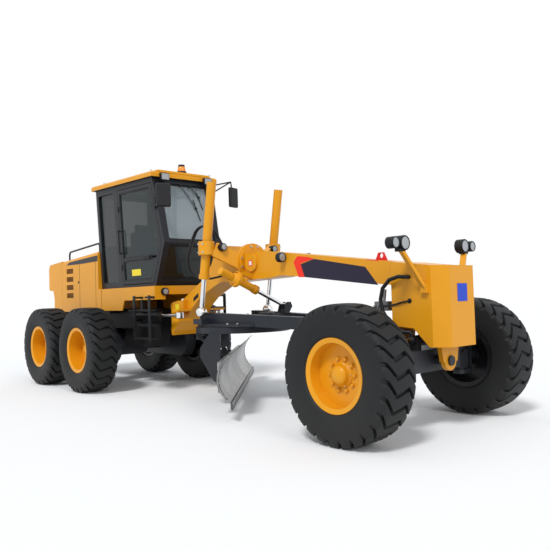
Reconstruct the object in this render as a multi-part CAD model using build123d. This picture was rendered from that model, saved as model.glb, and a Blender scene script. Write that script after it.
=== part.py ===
"""A motor grader: rear machine with engine and cab, hinged to a long arched beam that carries
the front axle, the drawbar, the circle and the blade.

Millimetres. X forward, Y to the machine's left, Z up. While modelling, x counts from the centre
of the tandem axle; on export everything shifts by ORIGIN_X, so that the origin is the centre of
the bounding box, on the ground.
"""

import os
from math import cos, radians, sin

from build123d import *

os.makedirs("parts", exist_ok=True)

# ---- driving dimensions ----
WHEELBASE = 6219.0
TANDEM_SPACING = 1538.0
HALF_TREAD = 1080.0
TYRE_R = 660.0
TYRE_HALF_W = 222.5
TREAD_BARS, TREAD_PHASE = 26, 4.0
BAR_SHARES = (0.15, 0.85, 1.0)  # where a bar starts and ends in its pitch, and the groove's middle
TREAD = [  # radius on the bar, radius in the groove, half width, turn in degrees
    (647, 617, 196, 0), (TYRE_R, 624, 85, -13), (TYRE_R, 624, -85, -8.5), (647, 617, -196, -21.5),
]
SIDEWALL = [(540, TYRE_HALF_W), (356, 178), (326, 176)]  # radius, half width, from the bars to the bead
RIM_SEAT_R = 321.5
RIM_FLANGE_R = 350.0
SPINDLE_R = 60.0
RUNNING_GAP = 0.05
HUB_OFFSET = {"front": 35.0, "rear": -55.0}

TAIL_X = -2020.0
ORIGIN_X = (WHEELBASE + TYRE_R + TAIL_X) / 2

# frame hinge
HINGE_X = 1720.0
HINGE_PIN_R = 60.0
NOSE_R = 140.0

# cab: side outline from the rear sill round to the front sill; its sides lean in towards the sill
CAB_REAR_X, CAB_TOP_FRONT_X, CAB_KNEE_X, CAB_SILL_FRONT_X = 100.0, 1950.0, 2190.0, 1865.0
CAB_SILL_Z, CAB_KNEE_Z, CAB_TOP_Z = 1620.0, 2260.0, 3265.0
CAB_TOP_SLOPE = 0.024
CAB_HALF_W, CAB_SILL_HALF_W = 560.0, 480.0
CAB_LEAN = 2.784
CAB_WALL = 70.0
POST_W = 80.0
WINDOW_HALF_W = 430.0
B_POST_X = (720.0, 850.0)
DOOR_HINGE = (856.0, -564.0)
DOOR_HINGE_Z = (1900.0, 2850.0)
KNUCKLE_R, KNUCKLE_H = 12.0, 45.0
DOOR_GAP = 8.0
DOOR_T = 40.0
GLASS_T = 8.0

ROOF_X, ROOF_HALF_W, ROOF_T = (20.0, 2015.0), 605.0, 80.0
BEACON_X = 1920.0
SKIRT_X, SKIRT_HALF_W = (215.0, 1945.0), 550.0

# hitch and lifting eye
TOW_PIN_X, TOW_PIN_R = -1955.0, 20.5
EYE_X, EYE_Z, EYE_R = 5820.0, 1815.0, 28.0

# hood
HOOD_HALF_W = 550.0
HOOD_X = (-1400.0, 96.0)
HOOD_BASE_Z = 1240.0
HOOD_TOP_Z = 2270.0
HOOD_SLOPE = 0.06
SHEET = 20.0
WELD = 0.3

# beam and head
BEAM_HALF_W = 170.0
FOOT_X = (1900.0, 2240.0)
FOOT_HALF_W = 240.0
FOOT_Z = (860.0, 1370.0)
HEAD_X = (6160.0, 6800.0)
HEAD_HALF_W = 290.0
HEAD_NOSE_HALF_W = 210.0
LAMP_ARM_Z = 1796.0

# front axle
AXLE_PIN_Z = 710.0
LEAN_Y, LEAN_Z = 690.0, 620.0
KINGPIN_Y = 820.0
KINGPIN_R = 45.0
STEER_ARM = 160.0
STEER_ROD_Z = 926.0
STEER_PORT_Z = STEER_ROD_Z + 43.2
STEER_EYE_Y = 780.0
STEER_NECK_Y = 640.0

# drawbar, circle and blade; the blade group is drawn with u along the blade and n to its front
BALL = (6000.0, 0.0, 900.0)
BALL_R = 55.0
CIRCLE_X = 3350.0
CIRCLE_R = 650.0
CIRCLE_INNER_R = 560.0
CIRCLE_Z = (940.0, 1020.0)
BLADE_YAW = -43.5
BLADE_LENGTH = 3590.0
BLADE_SHIFT = -86.0
BLADE_TOP_Z, BLADE_LIP_Z = 760.0, 150.0
BLADE_T = 20.0
TILT_N, TILT_Z = -300.0, 400.0
TILT_PIN_R = 35.0
ARM_U = 560.0
RAIL_Z = ((280.0, 330.0), (590.0, 640.0))
RAIL_N = (-216.0, -165.0)

# saddle ring: front face and centre height, radius, thickness
SADDLE, SADDLE_R, SADDLE_T = (3640.0, 1870.0), 243.0, 110.0

# cylinders: fixed pivot, rod eye, barrel radius, rod radius, barrel ends measured from the pivot
LIFT_TRUNNION = (3355.0, -590.0, 2070.0)
LIFT_EYE = (3200.0, -590.0, 1220.0)
LIFT_BALL_R, LIFT_CUP_R = 30.0, 58.0
SHIFT_PIVOT = (3770.0, -430.0, 1640.0)
SHIFT_EYE = (3720.0, 470.0, 1262.0)
SHIFT_BALL_R = 82.0
ARTIC_PIVOT = (1120.0, -450.0, 1170.0)
ARTIC_EYE = (2300.0, -350.0, 1170.0)
PITCH_PIVOT = (0.0, -605.0, 880.0)
PITCH_EYE = (0.0, -270.0, 690.0)


# ---- helpers ----
def block(x, y, z):
    """A box between pairs of limits."""
    return Pos(sum(x) / 2, sum(y) / 2, sum(z) / 2) * Box(x[1] - x[0], y[1] - y[0], z[1] - z[0])


def side_slab(outline, y, corner=0):
    """A slab with an (x, z) outline between two values of y."""
    face = Polygon(*outline, align=None)
    if corner:
        face = fillet(face.vertices(), corner)
    plane = Plane(origin=(0, y[1], 0), x_dir=(1, 0, 0), z_dir=(0, -1, 0))
    return extrude(plane * face, amount=y[1] - y[0], dir=(0, -1, 0))


def plan_slab(outline, z, corner=0):
    """A slab with an (x, y) outline between two values of z."""
    face = Polygon(*outline, align=None)
    if corner:
        face = fillet(face.vertices(), corner)
    return extrude(Pos(0, 0, z[0]) * face, amount=z[1] - z[0], dir=(0, 0, 1))


def end_slab(outline, x, corner=0):
    """A slab with a (y, z) outline between two values of x."""
    face = Polygon(*outline, align=None)
    if corner:
        face = fillet(face.vertices(), corner)
    plane = Plane(origin=(x[0], 0, 0), x_dir=(0, 1, 0), z_dir=(1, 0, 0))
    return extrude(plane * face, amount=x[1] - x[0], dir=(1, 0, 0))


def rod(a, b, radius):
    """A round bar from point a to point b."""
    run = Vector(*b) - Vector(*a)
    bottom = (Align.CENTER, Align.CENTER, Align.MIN)
    return Plane(origin=a, z_dir=run) * Cylinder(radius, run.length, align=bottom)


def along_x(x, y, z, radius):
    return rod((x[0], y, z), (x[1], y, z), radius)


def along_y(x, y, z, radius):
    return rod((x, y[0], z), (x, y[1], z), radius)


def along_z(x, y, z, radius):
    return rod((x, y, z[0]), (x, y, z[1]), radius)


def bar(a, b, width, height):
    """A rectangular bar from a to b; its width lies level."""
    run = Vector(*b) - Vector(*a)
    level = Vector(0, 0, 1).cross(run).normalized()
    bottom = (Align.CENTER, Align.CENTER, Align.MIN)
    return Plane(origin=a, x_dir=level, z_dir=run) * Box(width, height, run.length, align=bottom)


def tube_path(points, radius, bend):
    """A bent round tube through the points."""
    path = FilletPolyline(*points, radius=bend)
    return sweep(Plane(origin=path @ 0, z_dir=path % 0) * Circle(radius), path=path)


def both_sides(shape):
    """The shape and its mirror image across the machine's middle plane."""
    return shape + mirror(shape, about=Plane.XZ)


def at_point(a, b, distance):
    """The point at a distance from a towards b."""
    run = (Vector(*b) - Vector(*a)).normalized()
    return tuple(Vector(*a) + run * distance)


def save(name, shape, side=1):
    """Write one node; side -1 writes the right-hand original's mirror image on the left."""
    if side < 0:
        shape = mirror(shape, about=Plane.XZ)
    export_step(Pos(-ORIGIN_X, 0, 0) * shape, f"parts/{name}.step")


# ---- wheels ----
def tread_ring(radius, width, turn, share):
    """One point for each tread bar, at a share of its pitch."""
    angles = [radians((bar + share) * 360 / TREAD_BARS + turn + TREAD_PHASE) for bar in range(TREAD_BARS)]
    return [(radius * cos(a), width, radius * sin(a)) for a in angles]


def stitch(first, second):
    """Two triangles between each pair of neighbours on two closed rings of equal count."""
    return [
        face
        for a, b, c, d in zip(first, first[1:] + first[:1], second[1:] + second[:1], second)
        for face in ((a, b, c), (a, c, d))
    ]


def tyre():
    """Earthmover tyre in flat facets: bars that cross the tread in a stretched Z, with grooves between."""
    rows = []
    for bar_r, groove_r, width, turn in TREAD:
        rings = [tread_ring(r, width, turn, share) for r, share in zip((bar_r, bar_r, groove_r), BAR_SHARES)]
        rows.append([point for bar in zip(*rings) for point in bar])
    facets = [facet for first, second in zip(rows, rows[1:]) for facet in stitch(first, second)]
    beads = []
    for row, side, turn in ((rows[0], 1, TREAD[0][3]), (rows[-1], -1, TREAD[-1][3])):
        casing = [tread_ring(r, side * w, turn, 1) for r, w in SIDEWALL]
        for bar in range(TREAD_BARS):
            start, end, deep = row[3 * bar : 3 * bar + 3]
            before, low, low_before = row[3 * bar - 1], casing[0][bar], casing[0][bar - 1]
            facets += [(before, start, low_before), (start, end, low_before)]
            facets += [(end, low, low_before), (end, deep, low)]
        facets += [facet for first, second in zip(casing, casing[1:]) for facet in stitch(first, second)]
        beads.append(casing[-1])
    outer, inner = beads
    facets += stitch(outer, inner[1:] + inner[:1])  # one bar on, where the two beads nearly line up
    return Solid(Shell([Face(Wire.make_polygon(facet, close=True)) for facet in facets]))


def rim(offset):
    """One-piece rim, disc and hub with a blind bore; its outboard side is +Y."""
    well = RIM_SEAT_R - 20
    section = [
        (RIM_FLANGE_R, 190), (RIM_FLANGE_R, 180), (RIM_SEAT_R, 178), (RIM_SEAT_R, -178), (RIM_FLANGE_R, -180),
        (RIM_FLANGE_R, -190), (well, -178), (well, offset - 10), (110, offset - 10), (110, offset - 70),
        (SPINDLE_R + RUNNING_GAP, offset - 70), (SPINDLE_R + RUNNING_GAP, offset + 60), (0, offset + 60),
        (0, offset + 105), (50, offset + 100), (85, offset + 75), (100, offset + 45), (125, offset + 15),
        (well, offset + 15), (well, 178),
    ]
    return revolve(Polygon(*section, align=None), axis=Axis.Y)


WHEELS = [  # name, x, side (+1 left), kind
    ("rear_right_front", TANDEM_SPACING / 2, -1, "rear"),
    ("rear_right_back", -TANDEM_SPACING / 2, -1, "rear"),
    ("rear_left_front", TANDEM_SPACING / 2, 1, "rear"),
    ("rear_left_back", -TANDEM_SPACING / 2, 1, "rear"),
    ("front_right", WHEELBASE, -1, "front"),
    ("front_left", WHEELBASE, 1, "front"),
]


def save_wheels():
    treaded = tyre()
    for name, x, side, kind in WHEELS:
        place = Pos(x, HALF_TREAD, TYRE_R)
        save("tyre_" + name, place * treaded, side)
        save("rim_" + name, place * rim(HUB_OFFSET[kind]), side)


# ---- rear machine ----
def rear_frame():
    """Two box rails with cross members, deck wings, bumper and the hinge nose with its pin."""
    shape = both_sides(block((-1800, 1160), (250, 350), (950, 1228)))
    shape += block((-1800, 190), (-545, 545), (1228, 1239.7))
    for x in (-1600, -900, 400, 1040):
        shape += block((x, x + 90), (-250, 250), (990, 1200))
    shape += block((-1900, -1800), (-520, 520), (900, 1300))
    for z in ((1000, 1030), (1090, 1120)):
        shape += block((-2000, -1890), (-70, 70), z)
    shape -= along_z(TOW_PIN_X, 0, (990, 1130), TOW_PIN_R)
    nose_side = [(1060, 350), (1180, 350), (1500, 160), (HINGE_X, NOSE_R)]
    nose = nose_side + [(x, -y) for x, y in reversed(nose_side)]
    shape += plan_slab(nose, (985, 1235)) + along_z(HINGE_X, 0, (985, 1235), NOSE_R)
    shape += along_z(HINGE_X, 0, (885, 1335), HINGE_PIN_R)
    # carriers under the cab, side tanks hung from them, transmission
    inside = SKIRT_HALF_W - SHEET - 2
    for x, z in ((340, 1200), (1400, 1234)):
        shape += block((x, x + 110), (-inside, inside), (z, 1268))
        shape += both_sides(block((x + 20, x + 90), (430, 500), (1268, 1589.7)))
    shape += block((1390, 1510), (-500, 500), (990, 1045))
    shape += both_sides(block((1300, 1900), (440, 545), (810, 1045)))
    shape += block((420, 1080), (-235, 235), (640, 1000))
    lug = block((1040, 1200), (345, 510), (1075, 1105)) + block((1040, 1200), (345, 510), (1235, 1262))
    lug += block((1040, 1200), (345, 375), (1075, 1262))
    return shape + both_sides(lug + along_z(ARTIC_PIVOT[0], -ARTIC_PIVOT[1], (1100, 1240), 25))


def tandem_axle():
    """Final drive housing across the machine and the two chain cases with their wheel spindles."""
    half = TANDEM_SPACING / 2
    shape = along_y(0, (-615, 615), 700, 170) + along_y(0, (-330, 330), 700, 245)
    shape += both_sides(block((-180, 180), (250, 350), (860, 950)))
    outline = [(-half, 900), (-200, 990), (200, 990), (half, 900), (half, 430), (-half, 430)]
    case = side_slab(outline, (610, 800))
    for x in (-half, half):
        case += along_y(x, (610, 800), TYRE_R, 240)
        case += along_y(x, (795, 845), TYRE_R, 110)
        case += along_y(x, (840, HALF_TREAD + HUB_OFFSET["rear"] + 55), TYRE_R, SPINDLE_R)
    return shape + both_sides(case)


def engine():
    return block((-1300, 50), (-330, 330), (1260, 2050))


def hood_top(x):
    """Height of the hood's sloping top at x."""
    return HOOD_TOP_Z + x * HOOD_SLOPE


def hood():
    """Open-bottomed engine cover with louvre slots in its sides; its front end laps over the cab base."""
    x0, x1 = HOOD_X
    lap_x, lap_z = 197, 1618
    outline = [(x0, HOOD_BASE_Z), (lap_x, HOOD_BASE_Z), (lap_x, lap_z), (x1, lap_z)]
    outline += [(x, hood_top(x)) for x in (x1, x0)]
    shape = side_slab(outline, (-HOOD_HALF_W, HOOD_HALF_W))
    long_edges = shape.edges().filter_by(lambda e: abs(e.center().Y) > 500 and e.length > 1000)
    top_edges = long_edges.sort_by(Axis.Z)[-2:]
    shape = fillet(top_edges, 60)
    inner = [
        (x0 - 50, HOOD_BASE_Z - 5), (lap_x - SHEET, HOOD_BASE_Z - 5), (lap_x - SHEET, lap_z - SHEET),
        (x1 - SHEET, lap_z - SHEET), (x1 - SHEET, hood_top(x1) - SHEET), (x0 - 50, hood_top(x0) - SHEET),
    ]
    shape -= side_slab(inner, (-HOOD_HALF_W + SHEET, HOOD_HALF_W - SHEET), 0)
    for z in (1490, 1640, 1790, 1940):
        shape -= block((-1200, -910), (-600, 600), (z, z + 90))
    return shape


def hood_tail():
    """Radiator end of the hood with the grille opening to the rear."""
    top = HOOD_TOP_Z
    outline = [
        (-1404, HOOD_BASE_Z), (-1404, top - 1404 * HOOD_SLOPE),
        (TAIL_X + 60, top - 2020 * HOOD_SLOPE), (TAIL_X, top - 190), (TAIL_X, 1680),
        (TAIL_X + 30, 1650), (-1830, 1640), (-1780, 1500), (-1780, HOOD_BASE_Z),
    ]
    shape = side_slab(outline, (-HOOD_HALF_W, HOOD_HALF_W))
    shape -= block((-1940, -1300), (-530, 530), (1300, 2110))
    shape -= block((TAIL_X - 20, -1900), (-430, 430), (1760, 2030))
    for z in range(1780, 2030, 50):
        shape += block((TAIL_X + 5, TAIL_X + 45), (-430, 430), (z, z + 18))
    return shape


def cab_top(x):
    """Height of the cab frame's top, which falls towards the front."""
    return CAB_TOP_Z + (CAB_TOP_FRONT_X - x) * CAB_TOP_SLOPE


def cab_outline(inset):
    """Side outline of the cab moved inwards by inset."""
    i = inset
    rear, front = CAB_REAR_X + i, CAB_TOP_FRONT_X - i
    return [
        (rear, CAB_SILL_Z + i), (rear, cab_top(rear) - i), (front, cab_top(front) - i),
        (CAB_KNEE_X - 1.06 * i, CAB_KNEE_Z), (CAB_SILL_FRONT_X - i, CAB_SILL_Z + i),
    ]


def cab_width(inset):
    """Solid between the cab's two leaning side planes, each moved inwards by inset."""
    lean = (CAB_HALF_W - CAB_SILL_HALF_W) / (CAB_TOP_Z - CAB_SILL_Z)
    (low, z0), (high, z1) = ((CAB_HALF_W - inset - (CAB_TOP_Z - z) * lean, z) for z in (1500, 3400))
    return end_slab([(-low, z0), (low, z0), (high, z1), (-high, z1)], (CAB_REAR_X - 200, CAB_KNEE_X + 200))


def lean_in(shape):
    """Tip something drawn upright on the right-hand side plane to the cab's leaning side."""
    return Pos(0, -CAB_HALF_W, CAB_TOP_Z) * Rot(CAB_LEAN, 0, 0) * Pos(0, CAB_HALF_W, -CAB_TOP_Z) * shape


def door_outline(inset):
    """Outline of the door opening moved inwards by inset."""
    i = inset
    rear, front = B_POST_X[1] + i, CAB_TOP_FRONT_X - POST_W / 2 - i
    return [
        (rear, CAB_SILL_Z + POST_W / 2 + i),
        (rear, cab_top(rear) - POST_W - i),
        (front, cab_top(front) - POST_W - i),
        (CAB_KNEE_X - POST_W - i, CAB_KNEE_Z),
        (CAB_SILL_FRONT_X - POST_W / 2 - i, CAB_SILL_Z + POST_W / 2 + i),
    ]


def side_light():
    """Outline of the narrow window behind the door."""
    x0, x1 = CAB_REAR_X + POST_W, B_POST_X[0]
    return [(x0, 1710), (x0, 3200), (x1, 3190), (x1, 1710)]


def hinge_knuckles(radius, above):
    """Door hinge knuckles of the right-hand door: the frame's, or above them the door's own."""
    shape = None
    for z in DOOR_HINGE_Z:
        low = z + above * (KNUCKLE_H + 1)
        one = along_z(*DOOR_HINGE, (low, low + KNUCKLE_H), radius)
        shape = one if shape is None else shape + one
    return lean_in(shape)


def cab_frame():
    """Welded cab frame: hollow, with the door, side, rear and front openings cut."""
    w, half = CAB_HALF_W + 50, WINDOW_HALF_W
    shape = side_slab(cab_outline(0), (-w, w)) & cab_width(0)
    shape -= side_slab(cab_outline(CAB_WALL), (-w, w)) & cab_width(CAB_WALL)
    shape -= side_slab(door_outline(0), (-w, w))
    shape -= both_sides(lean_in(side_slab(side_light(), (-w, 0), 40)))
    shape -= block((CAB_REAR_X - 10, CAB_REAR_X + 100), (-half, half), (2360, 3180))
    shape -= block((1800, 2600), (-half, half), (2292, 3185))
    shape -= block((1700, 2600), (20 - half, half - 20), (1720, 2226))
    shape -= both_sides(hinge_knuckles(KNUCKLE_R + 0.5, 1))
    return shape + both_sides(hinge_knuckles(KNUCKLE_R, 0))


def cab_glass():
    """The fixed panes: two windscreens, the rear window and the narrow side lights."""
    half = WINDOW_HALF_W - 2
    lean_up = (CAB_TOP_FRONT_X - CAB_KNEE_X) / (CAB_TOP_Z - CAB_KNEE_Z)
    lean_low = (CAB_KNEE_X - CAB_SILL_FRONT_X) / (CAB_KNEE_Z - CAB_SILL_Z)

    def front(z0, z1, lean, half):
        x = [CAB_KNEE_X + (z - CAB_KNEE_Z) * lean - 30 for z in (z0, z1)]
        return side_slab([(x[0], z0), (x[1], z1), (x[1] - GLASS_T, z1), (x[0] - GLASS_T, z0)], (-half, half))

    shape = front(2294, 3183, lean_up, half) + front(1722, 2224, lean_low, half - 20)
    shape += block((CAB_REAR_X + 20, CAB_REAR_X + 20 + GLASS_T), (-half, half), (2362, 3178))
    y = (-CAB_HALF_W + 32, -CAB_HALF_W + 32 + GLASS_T)
    return shape + both_sides(lean_in(side_slab(side_light(), y, 43)))


def door():
    """Right-hand door frame, a bent ring of box section with its hinge knuckles."""
    y = (-CAB_HALF_W, -CAB_HALF_W + DOOR_T)
    shape = side_slab(door_outline(DOOR_GAP), y)
    shape -= side_slab(door_outline(DOOR_GAP + 55), (y[0] - 5, y[1] + 5))
    shape = lean_in(shape + block((870, 1800), y, (2050, 2080)))
    return shape + hinge_knuckles(KNUCKLE_R, 1) - hinge_knuckles(KNUCKLE_R + 0.5, 0)


def door_glass():
    y = (-CAB_HALF_W + 16, -CAB_HALF_W + 16 + GLASS_T)
    pane = side_slab(door_outline(DOOR_GAP + 55), y)
    return lean_in(pane - block((800, 1950), (y[0] - 5, y[1] + 5), (2050, 2080)))


def cab_roof():
    """Thin roof slab that overhangs the frame, with a raised middle."""
    x0, x1 = ROOF_X
    w = ROOF_HALF_W
    outline = [(x, cab_top(x) + t) for x, t in ((x0, 0), (x0, ROOF_T), (x1, ROOF_T), (x1, 0))]
    shape = side_slab(outline, (-w, w))
    shape = chamfer(shape.faces().sort_by(Axis.Z)[-1].edges(), 22)
    step = ROOF_T - 5
    crown = [(x0 + 130, cab_top(x0 + 130) + step), (x0 + 190, cab_top(x0 + 190) + ROOF_T + 30)]
    crown += [(x1 - 15, cab_top(x1 - 15) + ROOF_T + 30), (x1 - 8, cab_top(x1 - 8) + step)]
    return shape + side_slab(crown, (130 - w, w - 130))


def cab_base():
    """Amber skirt under the cab, open underneath, stepped up ahead of the rear wheels."""
    (x0, x1), w, top = SKIRT_X, SKIRT_HALF_W, 1618
    shape = side_slab([(x0, 1250), (x0, top), (x1, top), (x1, 1411), (995, 1411), (920, 1250)], (-w, w))
    hollow = [(x0 + 30, 1200), (x0 + 30, 1590), (x1 - 30, 1590), (x1 - 30, 1300), (1025, 1300), (930, 1200)]
    shape -= side_slab(hollow, (-w + SHEET, w - SHEET))
    # the arch of the front beam swings through this gap when the machine is steered at the hinge
    return shape - block((1180, x1 + 1), (-365, 365), (1400, 1485))


def seat():
    """Sprung seat with its pedestal, backrest and armrests."""
    cushion = fillet(block((635, 1115), (-250, 250), (1960, 2080)).edges(), 25)
    back = side_slab([(655, 2080), (765, 2080), (705, 2700), (595, 2700)], (-240, 240), 20)
    shape = cushion + back + block((715, 1035), (-170, 170), (1692, 1970))
    rest = block((675, 1035), (255, 310), (2170, 2215)) + block((675, 735), (200, 310), (1990, 2175))
    return shape + both_sides(rest)


def console():
    """Steering column with its wheel and the lever banks."""
    shape = side_slab([(1775, 1690.3), (1555, 1690.3), (1385, 2250), (1515, 2270)], (-110, 110), 20)
    plane = Plane(origin=(1415, 0, 2340), z_dir=(-0.37, 0, 0.93))
    shape += plane * Torus(190, 16) + rod((1465, 0, 2225), (1415, 0, 2350), 30)
    return shape + plane * Box(380, 30, 16)


def cab_steps():
    """Black ladders hung from the cab base on both sides, three rungs each."""
    shape = None
    for x in (1540, 1990):
        stile = side_slab([(x, 800), (x + 60, 800), (x + 60, 1480), (x, 1480)], (-700, -685), 25)
        shape = stile if shape is None else shape + stile
    shape += block((1540, 1600), (-686, -SKIRT_HALF_W), (1432, 1462))
    shape += block((1880, 2050), (-686, -640), (1432, 1462))
    shape += block((1880, 1940), (-686, -SKIRT_HALF_W), (1432, 1462))
    for z in (815, 1015, 1240):
        shape += block((1540, 2050), (-686, -590), (z, z + 30))
    return both_sides(shape)


MIRRORS = [  # side, foot x, feet z, elbow, head; all for the right-hand side
    (-1, 1995, (2800, 2960), (2625, -735, 2890), (2657, -800, 2865)),
    (1, 1915, (3105, 3235), (1960, -935, 3325), (2000, -950, 3060)),
]


def mirrors():
    """Black rounded mirrors on tube arms ahead of the doors."""
    shape = None
    for side, x, feet, elbow, head in MIRRORS:
        strap = block((x - 35, x + 35), (-CAB_HALF_W - 18, -CAB_HALF_W - 0.3), (feet[0] - 30, feet[1] + 30))
        arms = lean_in(strap)
        for z in feet:
            arms += rod((x, -CAB_HALF_W + (CAB_TOP_Z - z) * 0.0486 - 14, z), elbow, 11)
        arms += rod(elbow, head, 11)
        arms += Pos(*head) * Rot(0, 0, -15) * fillet(Box(60, 210, 330).edges(), 25)
        arms = arms if side < 0 else mirror(arms, about=Plane.XZ)
        shape = arms if shape is None else shape + arms
    return shape


def handrails():
    """Bent black tubes along the hood top."""
    x0, x1, y = -1200, 40, -480
    path = [
        (x0, y, hood_top(x0) + 1), (x0, y, hood_top(x0) + 150),
        (x1, y, hood_top(x1) + 150), (x1, y, hood_top(x1) + 1),
    ]
    return both_sides(tube_path(path, 16, 60))


def machine_lamps():
    """Round headlamps, cab work lamps, square tail lamps and the beacon on the roof."""
    z = cab_top(BEACON_X) + ROOF_T + 32
    shape = along_z(BEACON_X, 0, (z, z + 25), 72)
    shape += Pos(BEACON_X, 0, z + 25) * Cone(64, 50, 105, align=(Align.CENTER, Align.CENTER, Align.MIN))
    lamps = along_x((SKIRT_X[1] + 0.3, SKIRT_X[1] + 40), 385, 1528, 60)
    lamps += block((ROOF_X[1] + 0.3, ROOF_X[1] + 60), (325, 465), (3210, 3315))
    lamps += block((TAIL_X - 8, TAIL_X), (445, 515), (1800, 1980))
    return shape + both_sides(lamps)


# ---- front machine ----
def beam():
    """Side profile of the arched box beam, from its foot over the arch to the head and back."""
    outline = [
        (1900, 860), (1900, 1350), (2110, 1390), (2530, 1610), (2680, 1690), (2880, 1890),
        (2980, 2085), (3060, 2125), (3240, 2125), (3350, 2000), (4000, 1995), (4700, 1910),
        (6160, 1722), (6160, 1475), (4360, 1668), (4200, 1646), (3300, 1616), (3080, 1622),
        (2900, 1560), (2720, 1485), (2560, 1410), (2350, 1260), (1900, 870),
    ]
    return side_slab(outline, (-BEAM_HALF_W, BEAM_HALF_W))


def gooseneck():
    """Arched box beam, the forked foot that it is welded to, and the lifting eye on its back."""
    whole = beam()
    weld = block((FOOT_X[1], 7000), (-500, 500), (0, 3000))
    profile = [(1900, 860), (1900, 1350), (2110, 1385), (2240, 1385), (2240, 1165), (1960, 922), (1940, 860)]
    foot = (whole - weld) + side_slab(profile, (-FOOT_HALF_W, FOOT_HALF_W))
    for z in ((890, 970), (1250, 1330)):
        foot += block((HINGE_X, FOOT_X[0] + 20), (-120, 120), z) + along_z(HINGE_X, 0, z, 120)
    foot -= along_z(HINGE_X, 0, (800, 1400), HINGE_PIN_R + RUNNING_GAP)
    # articulation rod lugs
    for z in ((1085, 1115), (1225, 1255)):
        foot += both_sides(block((2210, 2370), (BEAM_HALF_W + WELD, 425), z))
    foot += both_sides(along_z(ARTIC_EYE[0], -ARTIC_EYE[1], (1110, 1230), 22))
    eye = side_slab([(5740, 1767), (5780, 1850), (5850, 1850), (5900, 1747)], (-12, 12))
    eye -= along_y(EYE_X, (-20, 20), EYE_Z, EYE_R) + whole.moved(Pos(0, 0, WELD))
    return foot + (whole & weld.moved(Pos(WELD, 0, 0))) + eye


def beam_head():
    """Hollow push head with the axle pin lugs."""
    h, n = HEAD_HALF_W, HEAD_NOSE_HALF_W
    plan = [(6160, -h), (6640, -h), (6800, -n), (6800, n), (6640, h), (6160, h)]
    shape = plan_slab(plan, (860, 1722))
    inner = [
        (6185, -h + 25), (6630, -h + 25), (6770, -n + 15),
        (6770, n - 15), (6630, h - 25), (6185, h - 25),
    ]
    shape -= plan_slab(inner, (800, 1630))
    above = [(6100, 1725), (6160, 1722), (6640, 1660), (6900, 1650), (6900, 1900), (6100, 1900)]
    cut = side_slab(above, (-400, 400))
    arch = [(6100, 800), (6100, 1120), (6160, 1120), (6200, 1060), (6420, 1040), (6600, 860), (6640, 800)]
    low = side_slab(arch, (-400, 400))
    shape = shape - cut - low
    shape += block((6185, 6640), (-h + 20, h - 20), (1060, 1085))
    for x in ((6060, 6100), (6590, 6640)):
        shape += end_slab([(-200, 1085), (-120, 700), (120, 700), (200, 1085)], x)
        shape += along_x(x, 0, AXLE_PIN_Z, 100)
    shape += block((6060, 6190), (-200, 200), (1060, 1085))
    shape -= along_x((6000, 6700), 0, AXLE_PIN_Z, 50 + RUNNING_GAP)
    # drawbar ball seat
    x, _, z = BALL
    seat = block((x + 8, x + 75), (-85, 85), (z - 85, z + 170))
    seat -= Pos(*BALL) * Rot(0, 90, 0) * Sphere(BALL_R + 0.3)
    # slanted arms for the lamp pods
    arm = bar((6580, -318, 1440), (6490, -575, 1850), 60, 30)
    arm += block((6545, 6615), (-335, 5 - h), (1390, 1490))
    arm -= block((6300, 6700), (-800, -h), (LAMP_ARM_Z, 2000))
    return shape + seat + both_sides(arm)


def front_axle():
    """Oscillating axle beam with its centre pin, the end eyes and the steering cylinder bracket."""
    half = [(6112, 450), (6120, 622), (6318, 622), (6318, 560), (6480, 420)]
    plan = half + [(x, -y) for x, y in reversed(half)]
    shape = plan_slab(plan, (600, 820)) - both_sides(block((6240, 6330), (555, 640), (760, 830)))
    shape += along_x((6050, 6660), 0, AXLE_PIN_Z, 50)
    eye = block((6160, 6278), (600, LEAN_Y), (560, 680)) + along_x((6160, 6278), LEAN_Y, LEAN_Z, 48)
    shape += both_sides(eye)
    shape -= both_sides(along_x((6100, 6400), LEAN_Y, LEAN_Z, 30 + RUNNING_GAP))
    return shape


def steering_cylinder():
    """Barrel of the steering cylinder, clamped on the axle beam."""
    x = WHEELBASE + STEER_ARM
    shape = along_y(x, (-300, 300), STEER_ROD_Z, 42)
    clamp = block((x - 60, x + 60), (200, 260), (820, STEER_ROD_Z))
    port = block((x - 20, x + 20), (255, 295), (940, STEER_PORT_Z))
    shape += both_sides(clamp + port)
    shape -= along_y(x, (-400, 400), STEER_ROD_Z, 25 + RUNNING_GAP)
    return shape


def steering_rod():
    x = WHEELBASE + STEER_ARM
    shape = along_y(x, (-STEER_NECK_Y, STEER_NECK_Y), STEER_ROD_Z, 25)
    shape += both_sides(along_y(x, (STEER_NECK_Y - 10, STEER_EYE_Y - 10), STEER_ROD_Z, 13))
    return shape + both_sides(along_z(x, STEER_EYE_Y, (STEER_ROD_Z - 16, STEER_ROD_Z + 16), 40))


def lean_bracket():
    """Right lean bracket: two ears on the lean pin and the kingpin housing."""
    x = WHEELBASE
    shape = along_z(x, -KINGPIN_Y, (530, 790), 75)
    for ear in ((6122, 6152), (6286, 6316)):
        shape += end_slab([(-LEAN_Y, 560), (-LEAN_Y, 680), (-KINGPIN_Y, 760), (-KINGPIN_Y, 540)], ear)
        shape += along_x(ear, -LEAN_Y, LEAN_Z, 60)
    shape += block((6122, 6316), (-KINGPIN_Y - 20, -KINGPIN_Y + 50), (560, 750))
    shape += along_x((6122, 6316), -LEAN_Y, LEAN_Z, 30)
    return shape - along_z(x, -KINGPIN_Y, (500, 800), KINGPIN_R + RUNNING_GAP)


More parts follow.
